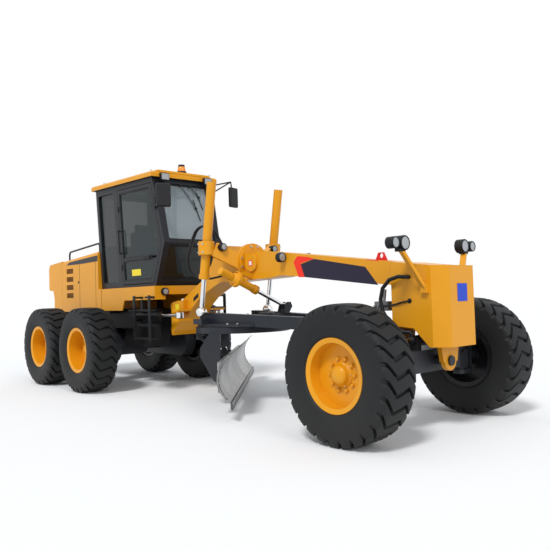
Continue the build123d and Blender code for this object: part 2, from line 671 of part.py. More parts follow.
def knuckle():
    """Right steering knuckle: fork on the kingpin, wheel spindle and steering arm."""
    x = WHEELBASE
    shape = along_z(x, -KINGPIN_Y, (480, 835), KINGPIN_R)
    for z in ((470, 520), (800, 842)):
        shape += along_z(x, -KINGPIN_Y, z, 75) + block((x - 75, x + 75), (-935, -KINGPIN_Y), z)
    shape += block((x - 75, x + 75), (-960, -925), (470, 842))
    shape += along_y(x, (-HALF_TREAD - HUB_OFFSET["front"] - 55, -940), TYRE_R, SPINDLE_R)
    shape += bar((x, -KINGPIN_Y, 828), (x + STEER_ARM, -STEER_EYE_Y, 828), 80, 16)
    return shape + along_z(x + STEER_ARM, -STEER_EYE_Y, (820, 836), 45)


def saddle_arms():
    x, z = SADDLE
    tx, ty, tz = LIFT_TRUNNION
    return both_sides(bar((x - SADDLE_T / 2, -150, z - 20), (tx + 70, ty + 70, tz - 15), 90, 190))


def lift_saddle():
    """Ring clamped round the beam, the arms out to the lift cylinder collars, and the lock pin's bosses."""
    x, z = SADDLE
    tx, ty, tz = LIFT_TRUNNION
    ring = along_x((x - SADDLE_T, x), 0, z, SADDLE_R)
    ring += along_x((x - SADDLE_T + 25, x - 25), 0, z, SADDLE_R + 20)
    shape = ring + saddle_arms() + both_sides(along_z(tx, ty, (tz - 90, tz + 90), 108)) - beam()
    shape -= block((x - 300, x + 10), (-BEAM_HALF_W, BEAM_HALF_W), (1500, 1640))
    above, below = at_point(LIFT_TRUNNION, LIFT_EYE, -300), at_point(LIFT_TRUNNION, LIFT_EYE, 300)
    shape -= both_sides(rod(above, below, 84))
    shape -= both_sides(along_y(tx, (ty - 97, ty + 97), tz, 20 + RUNNING_GAP))
    shape += both_sides(along_y(x + 150, (-BEAM_HALF_W - 30, -BEAM_HALF_W), z - 10, 120))
    # hanger of the shift cylinder's ball
    px, py, pz = SHIFT_PIVOT
    seat = rod(at_point(SHIFT_PIVOT, SHIFT_EYE, -22), at_point(SHIFT_PIVOT, SHIFT_EYE, 22), 104)
    outline = [(-170, 1725), (-268, 1735), (py - 20, pz + 95), (py + 40, pz + 75), (-170, 1640)]
    seat += end_slab(outline, (px - 22, px + 22))
    return shape + (seat - Pos(*SHIFT_PIVOT) * Sphere(SHIFT_BALL_R + 0.3))


LAMPS = [  # right-hand side: x of the lens, y, z, radius, length
    (6530, -525, 1880, 74, 85),
    (6530, -672, 1880, 58, 85),
    (4455, -235, 1885, 62, 60),
    (3555, -450, 2076, 52, 80),
]


def front_lamps():
    """Twin pods on the head's slanted arms, work lamps on the beam's sides and on the saddle's arms."""
    shape = block((6460, 6520), (-600, -510), (LAMP_ARM_Z, 1830))
    shape += block((6460, 6515), (-672, -525), (1850, 1900))
    for x, y, z, radius, length in LAMPS:
        shape += along_x((x - length, x), y, z, radius)
    shape += block((4400, 4440), (-200, -BEAM_HALF_W), (1860, 1900))
    return both_sides(shape) - saddle_arms()


def hoses():
    """Hydraulic hoses that loop from the head's sides down to the steering cylinder."""
    loop = [
        (6385, -HEAD_HALF_W, 1556), (6385, -325, 1556), (6290, -345, 1562), (6185, -350, 1535),
        (6095, -350, 1450), (6062, -348, 1335), (6080, -345, 1220), (6145, -340, 1120),
        (6220, -330, 1045), (6305, -305, 1006), (6379, -275, 997), (6379, -275, STEER_PORT_Z + 0.3),
    ]
    return both_sides(tube_path(loop, 20, 24))


# ---- drawbar, circle, blade ----
def drawbar():
    """A-shaped drawbar: two box arms from the front ball to the circle plate."""
    shape = both_sides(bar((3080, 440, 1136), (5750, 130, 1036), 120, 150))
    half = [(2960, 420), (3100, 585), (3900, 540), (4050, 400)]
    shape += plan_slab(half + [(x, -y) for x, y in reversed(half)], (1030, 1060))
    shape += plan_slab([(5300, -230), (5850, -90), (5850, 90), (5300, 230)], (955, 1075))
    shape += Pos(*BALL) * Sphere(BALL_R) + bar((5840, 0, 990), (5968, 0, 920), 70, 90)
    shape += block((3090, 3280), (-650, 650), (1060, 1130)) + block((4300, 4420), (-330, 330), (1020, 1110))
    # circle drive: gearbox over the ring's teeth and its motor
    x = CIRCLE_X + 510
    shape += along_z(x, 0, (1055, 1190), 105) + along_x((x, x + 290), 0, 1125, 55)
    # fork for the shift cylinder's eye and the lift ball studs
    x, y, z = SHIFT_EYE
    for x0 in (x - 66, x + 48):
        outline = [
            (y - 110, 1150), (y - 60, z + 30), (y - 20, z + 60),
            (y + 40, z + 60), (y + 70, z), (y - 5, 1150),
        ]
        shape += end_slab(outline, (x0, x0 + 18))
    ex, ey, ez = LIFT_EYE
    shape += both_sides(along_z(ex, ey, (1100, ez - 10), 22) + Pos(ex, ey, ez) * Sphere(LIFT_BALL_R))
    return shape


def circle():
    """Circle ring with the two blade arms, drawn in the blade's own frame."""
    ring = Cylinder(CIRCLE_R, CIRCLE_Z[1] - CIRCLE_Z[0]) - Cylinder(CIRCLE_INNER_R, 200)
    shape = Pos(0, 0, sum(CIRCLE_Z) / 2) * ring
    return shape


def blade_frame(shape):
    """Place a shape drawn in the blade's frame."""
    return Pos(CIRCLE_X, 0, 0) * Rot(0, 0, BLADE_YAW) * shape


def circle_arms():
    """The two plates that hang the blade from the circle, and the pitch cylinder's bracket."""
    outline = [(-400, 942), (-255, 942), (-262, 350), (-300, 320), (-350, 330), (-520, 640), (-520, 760)]
    shape = end_slab(outline, (-ARM_U - 25, -ARM_U + 25)) + end_slab(outline, (ARM_U - 25, ARM_U + 25))
    for u in (-ARM_U, ARM_U):
        shape += along_x((u - 25, u + 25), TILT_N, TILT_Z, 62)
    shape -= along_x((-700, 700), TILT_N, TILT_Z, TILT_PIN_R + RUNNING_GAP)
    _, n, z = PITCH_PIVOT
    for u in ((-75, -51), (51, 75)):
        shape += end_slab([(n - 45, 942), (n - 45, z - 40), (n + 45, z - 40), (n + 45, 942)], u)
    shape -= along_x((-200, 200), n, z, 20 + RUNNING_GAP)
    return shape


def tilt_frame():
    """Cross tube on the arms' pins with the shoes that the moldboard rails slide in."""
    shape = along_x((-ARM_U + 32, ARM_U - 32), TILT_N, TILT_Z, 55)
    shape += along_x((-ARM_U - 30, ARM_U + 30), TILT_N, TILT_Z, TILT_PIN_R)
    (lo0, lo1), (hi0, hi1) = RAIL_Z
    for u in ((-470, -400), (400, 470)):
        shape += end_slab([(-330, 340), (-222, 262), (-222, 650), (-262, 650), (-330, 470)], u)
        shape += block(u, (-224, -190), (lo1 + 6, lo1 + 24)) + block(u, (-224, -190), (hi0 - 24, hi0 - 6))
    _, n, z = PITCH_EYE
    for u in ((-60, -34), (34, 60)):
        shape += end_slab([(-330, 380), (-270, 380), (-240, 690), (-250, 725), (-290, 725), (-300, 690)], u)
    return shape


def moldboard_section(inset=0.0):
    """Section (n, z) of the moldboard: an arc of constant thickness, its hollow to the front."""
    lip_n, top_n, hollow = -25.0, -5.0, -150.0
    low, high = BLADE_LIP_Z + 90, BLADE_TOP_Z
    mid = (low + high) / 2
    front = ThreePointArc((lip_n, low), (hollow, mid), (top_n, high))
    back = ThreePointArc((top_n - BLADE_T, high), (hollow - BLADE_T, mid), (lip_n - BLADE_T, low))
    top_edge = Line((top_n, high), (top_n - BLADE_T, high))
    lip_edge = Line((lip_n - BLADE_T, low), (lip_n, low))
    return make_face([front, top_edge, back, lip_edge])


def blade_ends():
    return (BLADE_SHIFT - BLADE_LENGTH / 2, BLADE_SHIFT + BLADE_LENGTH / 2)


def moldboard():
    """Curved moldboard with its two slide rails on the back."""
    u0, u1 = blade_ends()
    face = Plane(origin=(u0, 0, 0), x_dir=(0, 1, 0), z_dir=(1, 0, 0)) * moldboard_section()
    shape = extrude(face, amount=u1 - u0, dir=(1, 0, 0))
    for z in RAIL_Z:
        shape += block((u0 + 450, u1 - 450), RAIL_N, z)
        for u in (u0 + 450, u1 - 490):
            shape += block((u, u + 40), RAIL_N, (RAIL_Z[0][0], RAIL_Z[1][1]))
    return shape


def cutting_edge():
    """Bolt-on cutting edge along the moldboard's foot."""
    u0, u1 = blade_ends()
    return end_slab([(-24, 238), (-20, 165), (-12, BLADE_LIP_Z), (4, BLADE_LIP_Z), (-2, 238)], (u0, u1))


# ---- cylinders ----
def barrel(pivot, eye, reach, radius, rod_r):
    """Barrel along pivot to eye, from reach[0] to reach[1] past the pivot, bored for its rod."""
    head, gland = at_point(pivot, eye, reach[0]), at_point(pivot, eye, reach[1])
    shape = rod(head, gland, radius) + rod(at_point(pivot, eye, reach[1] - 60), gland, radius + 10)
    shape -= rod(at_point(pivot, eye, reach[0] + 40), at_point(pivot, eye, reach[1] + 5), rod_r + RUNNING_GAP)
    return shape


def rod_to(pivot, eye, start, rod_r, stop):
    """Rod from start past the pivot to stop short of the eye."""
    length = (Vector(*eye) - Vector(*pivot)).length
    return rod(at_point(pivot, eye, start), at_point(pivot, eye, length - stop), rod_r)


def lift_barrel():
    x, y, z = LIFT_TRUNNION
    shape = barrel(LIFT_TRUNNION, LIFT_EYE, (-878, 412), 62, 32)
    return shape + along_y(x, (y - 96, y - 50), z, 20) + along_y(x, (y + 50, y + 96), z, 20)


def lift_rod():
    shape = rod_to(LIFT_TRUNNION, LIFT_EYE, -500, 32, 65)
    socket = Pos(*LIFT_EYE) * (Sphere(76) - Sphere(LIFT_CUP_R))
    socket -= along_z(LIFT_EYE[0], LIFT_EYE[1], (1100, LIFT_EYE[2]), LIFT_CUP_R)
    return shape + socket


def shift_barrel():
    bore = at_point(SHIFT_PIVOT, SHIFT_EYE, -245), at_point(SHIFT_PIVOT, SHIFT_EYE, 390)
    shape = barrel(SHIFT_PIVOT, SHIFT_EYE, (-285, 385), 50, 28)
    return shape + Pos(*SHIFT_PIVOT) * Sphere(SHIFT_BALL_R) - rod(*bore, 28 + RUNNING_GAP)


def shift_rod():
    x, y, z = SHIFT_EYE
    return rod_to(SHIFT_PIVOT, SHIFT_EYE, -60, 28, 30) + along_x((x - 22, x + 22), y, z, 42)


def artic_barrel():
    x, y, z = ARTIC_PIVOT
    shape = barrel(ARTIC_PIVOT, ARTIC_EYE, (50, 720), 50, 25) + along_z(x, y, (z - 50, z + 50), 58)
    return shape - along_z(x, y, (z - 60, z + 60), 25 + RUNNING_GAP)


def artic_rod():
    x, y, z = ARTIC_EYE
    shape = rod_to(ARTIC_PIVOT, ARTIC_EYE, 380, 25, 52) + along_z(x, y, (z - 40, z + 40), 62)
    return shape - along_z(x, y, (z - 60, z + 60), 44)


def pitch_barrel():
    u, n, z = PITCH_PIVOT
    shape = barrel(PITCH_PIVOT, PITCH_EYE, (35, 290), 42, 22) + along_x((-44, 44), n, z, 46)
    return shape + along_x((-78, 78), n, z, 20)


def pitch_rod():
    u, n, z = PITCH_EYE
    return rod_to(PITCH_PIVOT, PITCH_EYE, 118, 22, 30) + along_x((-26, 26), n, z, 40)


def main():
    """Build every node and write it."""
    save_wheels()
    for make in (
        rear_frame, tandem_axle, engine, hood, hood_tail, cab_frame, cab_glass, cab_roof, cab_base,
        seat, console, cab_steps, mirrors, handrails, machine_lamps, gooseneck, beam_head,
        lift_saddle, front_axle, steering_cylinder, steering_rod, front_lamps, hoses, drawbar,
        shift_barrel, shift_rod,
    ):
        save(make.__name__, make())
    for make in (door, door_glass, lean_bracket, knuckle, lift_barrel, lift_rod, artic_barrel, artic_rod):
        save(make.__name__ + "_right", make())
        save(make.__name__ + "_left", make(), -1)
    save("circle", blade_frame(circle() + circle_arms()))
    for make in (tilt_frame, moldboard, cutting_edge, pitch_barrel, pitch_rod):
        save(make.__name__, blade_frame(make()))


main()
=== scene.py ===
# %% [markdown]
# # Dressing a motor grader
# A motor grader shapes roads: engine and cab at the back on four driven wheels, an arched beam
# that reaches forward to two leaning front wheels, and a turning blade slung underneath. The
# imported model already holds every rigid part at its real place, so this lesson only gives those
# parts their finish and builds what the CAD keeps plain: tyres, lamps, hoses, seat and bolts.

import math

import bmesh
import bpy
from mathutils import Matrix, Vector


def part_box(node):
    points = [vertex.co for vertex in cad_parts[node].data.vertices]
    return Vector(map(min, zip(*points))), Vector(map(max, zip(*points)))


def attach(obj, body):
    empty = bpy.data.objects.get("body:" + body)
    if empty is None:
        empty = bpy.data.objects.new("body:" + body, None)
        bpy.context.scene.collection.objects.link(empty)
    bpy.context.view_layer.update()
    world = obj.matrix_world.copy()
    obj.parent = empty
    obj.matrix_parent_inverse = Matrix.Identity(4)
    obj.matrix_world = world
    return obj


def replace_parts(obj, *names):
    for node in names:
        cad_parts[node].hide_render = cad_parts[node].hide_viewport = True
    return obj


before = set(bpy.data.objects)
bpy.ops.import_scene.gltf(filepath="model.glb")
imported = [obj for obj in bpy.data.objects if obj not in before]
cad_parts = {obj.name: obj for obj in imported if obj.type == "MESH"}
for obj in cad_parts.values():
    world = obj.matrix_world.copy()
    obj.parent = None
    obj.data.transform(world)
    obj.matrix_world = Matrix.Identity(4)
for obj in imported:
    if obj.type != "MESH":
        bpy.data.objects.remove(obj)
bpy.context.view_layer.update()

# %% [markdown]
# Places are given from the middle of the tandem axle, along the machine (x), to its left (y) and
# up (z), because such machines are measured that way. One function turns them into the frame's.

# %% Places on the machine
axle_low, axle_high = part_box("tandem_axle")
TANDEM_X = (axle_low.x + axle_high.x) / 2


def spot(x, y, z):
    """A place measured from the middle of the tandem axle, as a point of the frame."""
    return Vector((x + TANDEM_X, y, z))


def middle(node):
    """The middle of a CAD node's box."""
    low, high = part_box(node)
    return (low + high) / 2


BEAM_HALF_W = 0.170
HOOD_HALF_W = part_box("hood")[1].y
HEAD_FRONT_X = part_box("beam_head")[1].x - TANDEM_X
UP = Vector((0, 0, 1))
SIDES = (("right", -1), ("left", 1))
WHEELS = {name[5:]: 1 if "left" in name else -1
          for name in sorted(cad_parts) if name.startswith("tyre_")}
REAR, FRONT = "rear_machine", "front_frame"
print("tandem axle at x =", round(TANDEM_X, 4), "- wheels:", list(WHEELS))

# %% [markdown]
# ## Camera
# The machine is seen from its front right, from chest height, through a slightly long lens, so
# that the front wheels look large and the rear ones small.

# %% Camera
CAMERA_AT = spot(10.211, -5.490, 1.403)
HEADING, UPWARD, ROLL = (math.radians(a) for a in (138.31, 1.94, -1.80))
LENS_MM, SENSOR_MM, REACH_M = 41.31, 36.0, 200


def aim(heading, upward, roll):
    """Rotation of a camera that looks along a compass heading, tipped up and rolled."""
    level = math.cos(upward)
    ahead = Vector((math.cos(heading) * level, math.sin(heading) * level, math.sin(upward)))
    side = ahead.cross(UP).normalized()
    top = side.cross(ahead)
    right = side * math.cos(roll) + top * math.sin(roll)
    up = top * math.cos(roll) - side * math.sin(roll)
    return Matrix((right, up, -ahead)).transposed()


def link(name, data):
    """Put an object with this data into the scene."""
    made = bpy.data.objects.new(name, data)
    bpy.context.scene.collection.objects.link(made)
    return made


camera_data = bpy.data.cameras.new("camera")
camera_data.lens, camera_data.sensor_width, camera_data.clip_end = LENS_MM, SENSOR_MM, REACH_M
camera = link("camera", camera_data)
camera.matrix_world = Matrix.Translation(CAMERA_AT) @ aim(HEADING, UPWARD, ROLL).to_4x4()
bpy.context.scene.camera = camera
bpy.context.scene.view_settings.view_transform = "Standard"
print("camera at", [round(v, 2) for v in camera.location])

# %% [markdown]
# ## Making materials
# Each finish is a small node tree. These helpers add a node, set its sockets and link it in one
# call, which keeps a tree as short to read as a recipe.

# %% Node helpers
def plug(tree, node, sockets):
    """Fill a node's sockets, each with a plain value or with another node's output."""
    for name, value in sockets.items():
        if isinstance(value, bpy.types.NodeSocket):
            tree.links.new(value, node.inputs[name])
        else:
            node.inputs[name].default_value = value


def add(tree, kind, sockets=None, **settings):
    """Add a shader node with its settings and its sockets."""
    made = tree.nodes.new("ShaderNode" + kind)
    for name, value in settings.items():
        setattr(made, name, value)
    plug(tree, made, sockets or {})
    return made


def calc(tree, operation, *values):
    """The result of a sum on numbers."""
    return add(tree, "Math", dict(enumerate(values)), operation=operation).outputs["Value"]


def calc_vector(tree, operation, *values, output="Vector"):
    """The result of a sum on vectors."""
    return add(tree, "VectorMath", dict(enumerate(values)), operation=operation).outputs[output]


def blend(tree, share, first, second):
    """A colour between two others."""
    return add(tree, "MixRGB", {"Fac": share, "Color1": first, "Color2": second}).outputs["Color"]


def stretch(tree, value, low, high, limit=1.0):
    """A value that runs from 0 to its limit, stretched to run from low to high."""
    sockets = {"Value": value, "From Max": limit, "To Min": low, "To Max": high}
    return add(tree, "MapRange", sockets).outputs["Result"]


def noise(tree, place, scale, detail, roughness=0.5):
    """Cloudy noise at a place."""
    sockets = {"Vector": place, "Scale": scale, "Detail": detail, "Roughness": roughness}
    return add(tree, "TexNoise", sockets).outputs["Fac"]


def new_material(name):
    """A material with only its output and its shader."""
    material = bpy.data.materials.new(name)
    material.use_nodes = True
    tree = material.node_tree
    tree.nodes.clear()
    shader = add(tree, "BsdfPrincipled")
    add(tree, "OutputMaterial", {"Surface": shader.outputs["BSDF"]})
    return material, tree, shader


def shade(colour, factor=1.0):
    """A colour made darker or lighter, as RGBA."""
    return tuple(min(1.0, c * factor) for c in colour) + (1.0,)


print("helpers ready, for example a dark grey:", shade((0.5, 0.5, 0.5), 0.5))

# %% [markdown]
# Paint, rubber and steel share one recipe: a slow cloudy change of colour, a fine grain in the
# bump, and dust that gathers towards the ground. It is all noise in object space, so it stays on
# a part that moves. A second colour is masked by planes, as a painter would tape it: real red on
# the beam's lug, and painted near-black shade on the back of a rim.

# %% The shared finish recipe
DUST, DUST_TOP_Z = (0.30, 0.27, 0.23, 1), 1.1
# (scale, detail, roughness) of the slow clouds, and how far they sway a surface's roughness
CLOUDS, ROUGH_SWAY = (2.3, 6.0, 0.62), 0.15
GRAIN_DETAIL, GRAIN_RISE, COAT_ROUGHNESS, METAL_SHINE = 3.0, 0.001, 0.12, 0.5


def beyond(tree, place, planes):
    """1 where a place lies beyond every plane (direction, limit), else 0; both sides count alike."""
    width = calc_vector(tree, "MULTIPLY", calc_vector(tree, "ABSOLUTE", place), (0, 1, 0))
    folded = calc_vector(tree, "MULTIPLY_ADD", place, (1, 0, 1), width)
    mask = 1.0
    for direction, limit in planes:
        along = calc_vector(tree, "DOT_PRODUCT", folded, direction, output="Value")
        mask = calc(tree, "MULTIPLY", mask, calc(tree, "GREATER_THAN", along, limit))
    return mask


def finish(name, colour, roughness, metallic=0.0, cloud=0.08, grain=(220.0, 0.02), dust=0.0, coat=0.0,
           edge=0.0, shine=0.28, second=None):
    """A clouded, grained finish; grain is (scale, depth), second (colour, the planes it lies beyond)."""
    material, tree, shader = new_material(name)
    place = add(tree, "TexCoord").outputs["Object"]
    slow = noise(tree, place, *CLOUDS)
    tone = blend(tree, slow, shade(colour, 1 - cloud), shade(colour, 1 + cloud))
    if dust:
        height = add(tree, "SeparateXYZ", {"Vector": place}).outputs["Z"]
        low = stretch(tree, height, dust, 0.0, DUST_TOP_Z)
        tone = blend(tree, calc(tree, "MULTIPLY", low, slow), tone, DUST)
    if second:
        tone = blend(tree, beyond(tree, place, second[1]), tone, shade(second[0]))
    rough = stretch(tree, slow, roughness * (1 - ROUGH_SWAY), min(1.0, roughness * (1 + ROUGH_SWAY)))
    fine = noise(tree, place, grain[0], GRAIN_DETAIL)
    bump = add(tree, "Bump", {"Height": fine, "Strength": grain[1] * 10, "Distance": GRAIN_RISE})
    if edge:
        plug(tree, bump, {"Normal": add(tree, "Bevel", {"Radius": edge}, samples=3).outputs["Normal"]})
    plug(tree, shader, {
        "Base Color": tone, "Roughness": rough, "Normal": bump.outputs["Normal"], "Metallic": metallic,
        "Specular IOR Level": METAL_SHINE if metallic else shine, "Coat Weight": coat,
        "Coat Roughness": COAT_ROUGHNESS})
    return material


print("dust gathers below", DUST_TOP_Z, "m, with a colour of", DUST[:3])

# %% [markdown]
# The machine's paint is a warm amber. The beam has a red lug, and each rim's back, behind its
# disc, is painted near-black as shade. Both wear the same paint with a mask.

# %% Paints
AMBER, RED, BLACK = (0.72, 0.305, 0.007), (0.68, 0.018, 0.012), (0.007, 0.0075, 0.009)
LUG_X, LUG_Z, LUG_SLOPE = 5.738 + TANDEM_X, 1.768, 0.125
LUG_PLANES = [((LUG_SLOPE, 0, 1), LUG_Z + LUG_SLOPE * (LUG_X + 0.002)), ((1, 0, 0), LUG_X),
              ((-1, 0, 0), -LUG_X - 0.168)]


def amber(name, edge=0.006, second=None):
    """The machine's amber paint."""
    return finish(name, AMBER, 0.36, cloud=0.06, coat=0.08, edge=edge, second=second)


def rim_amber_shaded_back(place, rim, inset):
    """Amber with near-black painted shade at the back of a rim, inwards of a plane near its middle."""
    # The near-black beyond the plane is painted shade on the rim's back, behind its disc.
    return amber("rim_paint_" + place, 0.004, (BLACK, [((0, -1, 0), -abs(middle(rim).y) - inset)]))


amber_paint = amber("amber_paint")
beam_paint = amber("beam_paint", second=(RED, LUG_PLANES))
front_rim_shaded_back = rim_amber_shaded_back("front", "rim_front_right", 0.0475)
rear_rim_shaded_back = rim_amber_shaded_back("rear", "rim_rear_right_front", -0.043)
# The louvres' brown is the amber darkened to about a quarter: painted shade inside the hood's slots.
louvre_shaded_amber = finish("louvre_shaded_amber", (0.20, 0.075, 0.004), 0.5, cloud=0.1)
slate_paint = finish("slate_paint", (0.016, 0.019, 0.026), 0.42, dust=0.16, edge=0.005)
black_paint = finish("black_paint", BLACK, 0.45, dust=0.12, edge=0.004)
cab_paint = finish("cab_paint", (0.011, 0.013, 0.017), 0.40, cloud=0.10, edge=0.006)
print(len(bpy.data.materials), "materials with the model's own")

# %% [markdown]
# What isn't painted comes from the same recipe: rubber and plastic are rough and dark, rods and
# bolts are metallic, and decals are smooth with hardly any cloud.

# %% Rubber, metal, decals and lenses
rubber = finish("tyre_rubber", (0.0060, 0.0070, 0.0082), 0.62, cloud=0.22, grain=(90.0, 0.05), dust=0.06,
                shine=0.30)
moulded_black = finish("moulded_black", (0.009, 0.0095, 0.011), 0.50, grain=(400.0, 0.04), edge=0.004)
hose_rubber = finish("hose_rubber", (0.012, 0.012, 0.013), 0.5, grain=(500.0, 0.05))
chrome = finish("chrome_rod", (0.78, 0.79, 0.80), 0.12, metallic=1.0, cloud=0.03)
zinc = finish("zinc_bolt", (0.55, 0.54, 0.50), 0.35, metallic=0.9)
cast_grey = finish("cast_grey", (0.15, 0.155, 0.16), 0.45, metallic=0.4, cloud=0.2)
iron = finish("engine_iron", (0.05, 0.05, 0.052), 0.7, cloud=0.3)
edge_steel = finish("edge_steel", (0.10, 0.10, 0.105), 0.42, metallic=0.6, cloud=0.25, edge=0.003)
navy_decal = finish("navy_decal", (0.012, 0.009, 0.030), 0.30, cloud=0.04)
red_decal = finish("red_decal", (0.86, 0.030, 0.012), 0.32, cloud=0.03)
black_decal = finish("black_decal", (0.010, 0.009, 0.011), 0.32, cloud=0.05)
yellow_decal = finish("yellow_decal", (0.86, 0.68, 0.02), 0.4, cloud=0.04)
white_decal = finish("white_decal", (0.75, 0.75, 0.74), 0.4, cloud=0.03)
blue_plate = finish("blue_plate", (0.010, 0.055, 0.52), 0.35, cloud=0.04)
lamp_glass = finish("lamp_glass", (0.36, 0.38, 0.40), 0.12, metallic=0.30, cloud=0.25, grain=(120.0, 0.20))
mirror_glass = finish("mirror_glass", (0.55, 0.58, 0.62), 0.04, metallic=1.0, cloud=0.02, grain=(20.0, 0.0))
beacon_lens = finish("beacon_lens", (0.90, 0.26, 0.015), 0.18, coat=0.6, grain=(60.0, 0.05))
tail_red = finish("tail_red", (0.55, 0.012, 0.010), 0.18, coat=0.6, grain=(160.0, 0.20))
seat_cloth = finish("seat_cloth", (0.012, 0.016, 0.040), 0.85, cloud=0.12, grain=(1400.0, 0.10))
piping_cloth = finish("piping_cloth", (0.030, 0.032, 0.040), 0.75, grain=(900.0, 0.06))
print(len(bpy.data.materials), "materials so far")

# %% [markdown]
# The moldboard is polished by the soil that slides over it. Its streaks run along the blade's
# height, which a noise stretched in one direction gives.

# %% Blade steel
# (streak times patch, grey) of the steel's dark and bright ends
DARK_STEEL, BRIGHT_STEEL = (0.12, (0.11, 0.11, 0.11, 1)), (0.38, (0.42, 0.42, 0.415, 1))


def blade_finish():
    """Soil-polished steel with streaks drawn out along the blade's height."""
    material, tree, shader = new_material("blade_steel")
    place = add(tree, "TexCoord").outputs["Object"]
    drawn = add(tree, "Mapping", {"Vector": place, "Scale": (6.0, 6.0, 0.8)}).outputs["Vector"]
    streak = noise(tree, drawn, 5.0, 8.0, 0.7)
    patch = noise(tree, place, 1.6, 3.0)
    tone = add(tree, "ValToRGB", {"Fac": calc(tree, "MULTIPLY", streak, patch)})
    for element, (position, grey) in zip(tone.color_ramp.elements, (DARK_STEEL, BRIGHT_STEEL)):
        element.position, element.color = position, grey
    bump = add(tree, "Bump", {"Height": streak, "Strength": 0.08, "Distance": 0.002})
    plug(tree, shader, {
        "Base Color": tone.outputs["Color"], "Roughness": stretch(tree, streak, 0.28, 0.52),
        "Normal": bump.outputs["Normal"], "Metallic": 0.55})
    return material


blade_steel = blade_finish()
print("made", blade_steel.name)

# %% [markdown]
# Cab windows are tinted safety glass. A see-through share in the shader's alpha keeps the seat
# and the levers visible and still mirrors the sky. The front pane's pale grey-blue is a painted
# reflection of the sky. Below the knee and beside the screen the pane keeps its darker tint.

# %% Glass
KNEE_Z, SCREEN_HALF_W = 2.26, 0.445
FOOT_COVER = 0.78


def glass(name, colour, cover, foot=None):
    """Tinted pane; cover is the share of light it stops, foot a darker tint below and beside, above which the
    pane's colour is a painted sky reflection.
    """
    material, tree, shader = new_material(name)
    place = add(tree, "TexCoord").outputs["Object"]
    tone = blend(tree, noise(tree, place, 0.9, 2.0), shade(colour, 0.75), shade(colour, 1.3))
    if foot:
        upper = beyond(tree, place, [(tuple(UP), KNEE_Z), ((0, -1, 0), -SCREEN_HALF_W)])
        tone = blend(tree, upper, shade(foot), tone)
        cover = stretch(tree, upper, FOOT_COVER, cover)
    plug(tree, shader, {"Base Color": tone, "Roughness": 0.03, "Alpha": cover, "Specular IOR Level": 0.45})
    return material


side_glass = glass("side_glass", (0.007, 0.019, 0.022), 0.62)
# The pale grey-blue above the knee is a painted reflection of the sky; the darker foot is the glass's tint.
front_glass_painted_reflection = glass("front_glass_painted_reflection", (0.30, 0.36, 0.39), 0.46, foot=(0.008, 0.014, 0.015))
print("the front pane is darker below", KNEE_Z, "m")

# %% [markdown]
# ## Finishing the CAD nodes
# A CAD node keeps its shape and only changes its material. The table names the nodes that wear
# each finish; sides and wheels are matched by the start of their names.

# %% Finishes of the CAD nodes
NODE_FINISH = [
    (amber_paint, ("hood", "cab_roof", "cab_base", "beam_head", "lift_saddle", "lift_barrel",
                   "shift_barrel")),
    (beam_paint, ("gooseneck",)),
    (front_rim_shaded_back, ("rim_front",)),
    (rear_rim_shaded_back, ("rim_rear",)),
    (slate_paint, ("tandem_axle", "front_axle", "lean_bracket", "knuckle", "drawbar", "circle", "tilt_frame",
                   "pitch_barrel")),
    (black_paint, ("rear_frame", "cab_steps", "handrails", "steering_cylinder", "artic_barrel", "front_lamps",
                   "machine_lamps", "hoses")),
    (cab_paint, ("cab_frame", "door_right", "door_left")),
    (moulded_black, ("mirrors", "console", "seat")),
    (chrome, ("lift_rod", "shift_rod", "artic_rod", "pitch_rod", "steering_rod")),
    (rubber, ("tyre_",)),
    (blade_steel, ("moldboard",)),
    (edge_steel, ("cutting_edge",)),
    (side_glass, ("door_glass",)),
    (front_glass_painted_reflection, ("cab_glass",)),
    (iron, ("engine",)),
]
bare = set(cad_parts)
for material, starts in NODE_FINISH:
    for name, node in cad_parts.items():
        if name.startswith(starts):
            node.data.materials.clear()
            node.data.materials.append(material)
            bare.discard(name)
print("nodes without a finish:", sorted(bare))

# %% [markdown]
# ## Building pieces
# New pieces are drawn with bmesh. A handful of strokes is enough for a machine: a box, a round
# bar, a turned profile and a plate cut from an outline.

# %% Strokes
def add_box(mesh, low, high):
    """A box between two corners."""
    size = Vector(high) - Vector(low)
    centre = (Vector(high) + Vector(low)) / 2
    bmesh.ops.create_cube(mesh, size=1, matrix=Matrix.Translation(centre) @ Matrix.Diagonal((*size, 1)))


def add_side_box(mesh, side, xs, ys, zs):
    """A box on one side of the machine, from spans along it, out from its middle and up."""
    y0, y1 = sorted((side * ys[0], side * ys[1]))
    add_box(mesh, spot(xs[0], y0, zs[0]), spot(xs[1], y1, zs[1]))


def around(count, start=0.0):
    """(cosine, sine) of evenly spaced angles once around."""
    angles = [2 * math.pi * (i + start) / count for i in range(count)]
    return [(math.cos(a), math.sin(a)) for a in angles]


def closed(points):
    """Each point with the one after it, and the last with the first."""
    return list(zip(points, points[1:] + points[:1]))


def add_turned(mesh, origin, axis, profile, segments=32):
    """A turned shape from (distance along the axis, radius) pairs."""
    turn = Matrix.Translation(Vector(origin)) @ UP.rotation_difference(Vector(axis)).to_matrix().to_4x4()
    rings = []
    for along, radius in profile:
        ring = around(segments) if radius else [(0, 0)]
        rings.append([mesh.verts.new(turn @ Vector((radius * c, radius * s, along))) for c, s in ring])
    for ring, after in zip(rings, rings[1:]):
        for i in range(segments):
            j = (i + 1) % segments
            corners = [ring[i % len(ring)], ring[j % len(ring)], after[j % len(after)], after[i % len(after)]]
            corners = list(dict.fromkeys(corners))
            if len(corners) > 2:
                mesh.faces.new(corners)


def add_rod(mesh, start, end, radius, segments=24):
    """A round bar with closed ends."""
    run = Vector(end) - Vector(start)
    add_turned(mesh, start, run, [(0, 0), (0, radius), (run.length, radius), (run.length, 0)], segments)


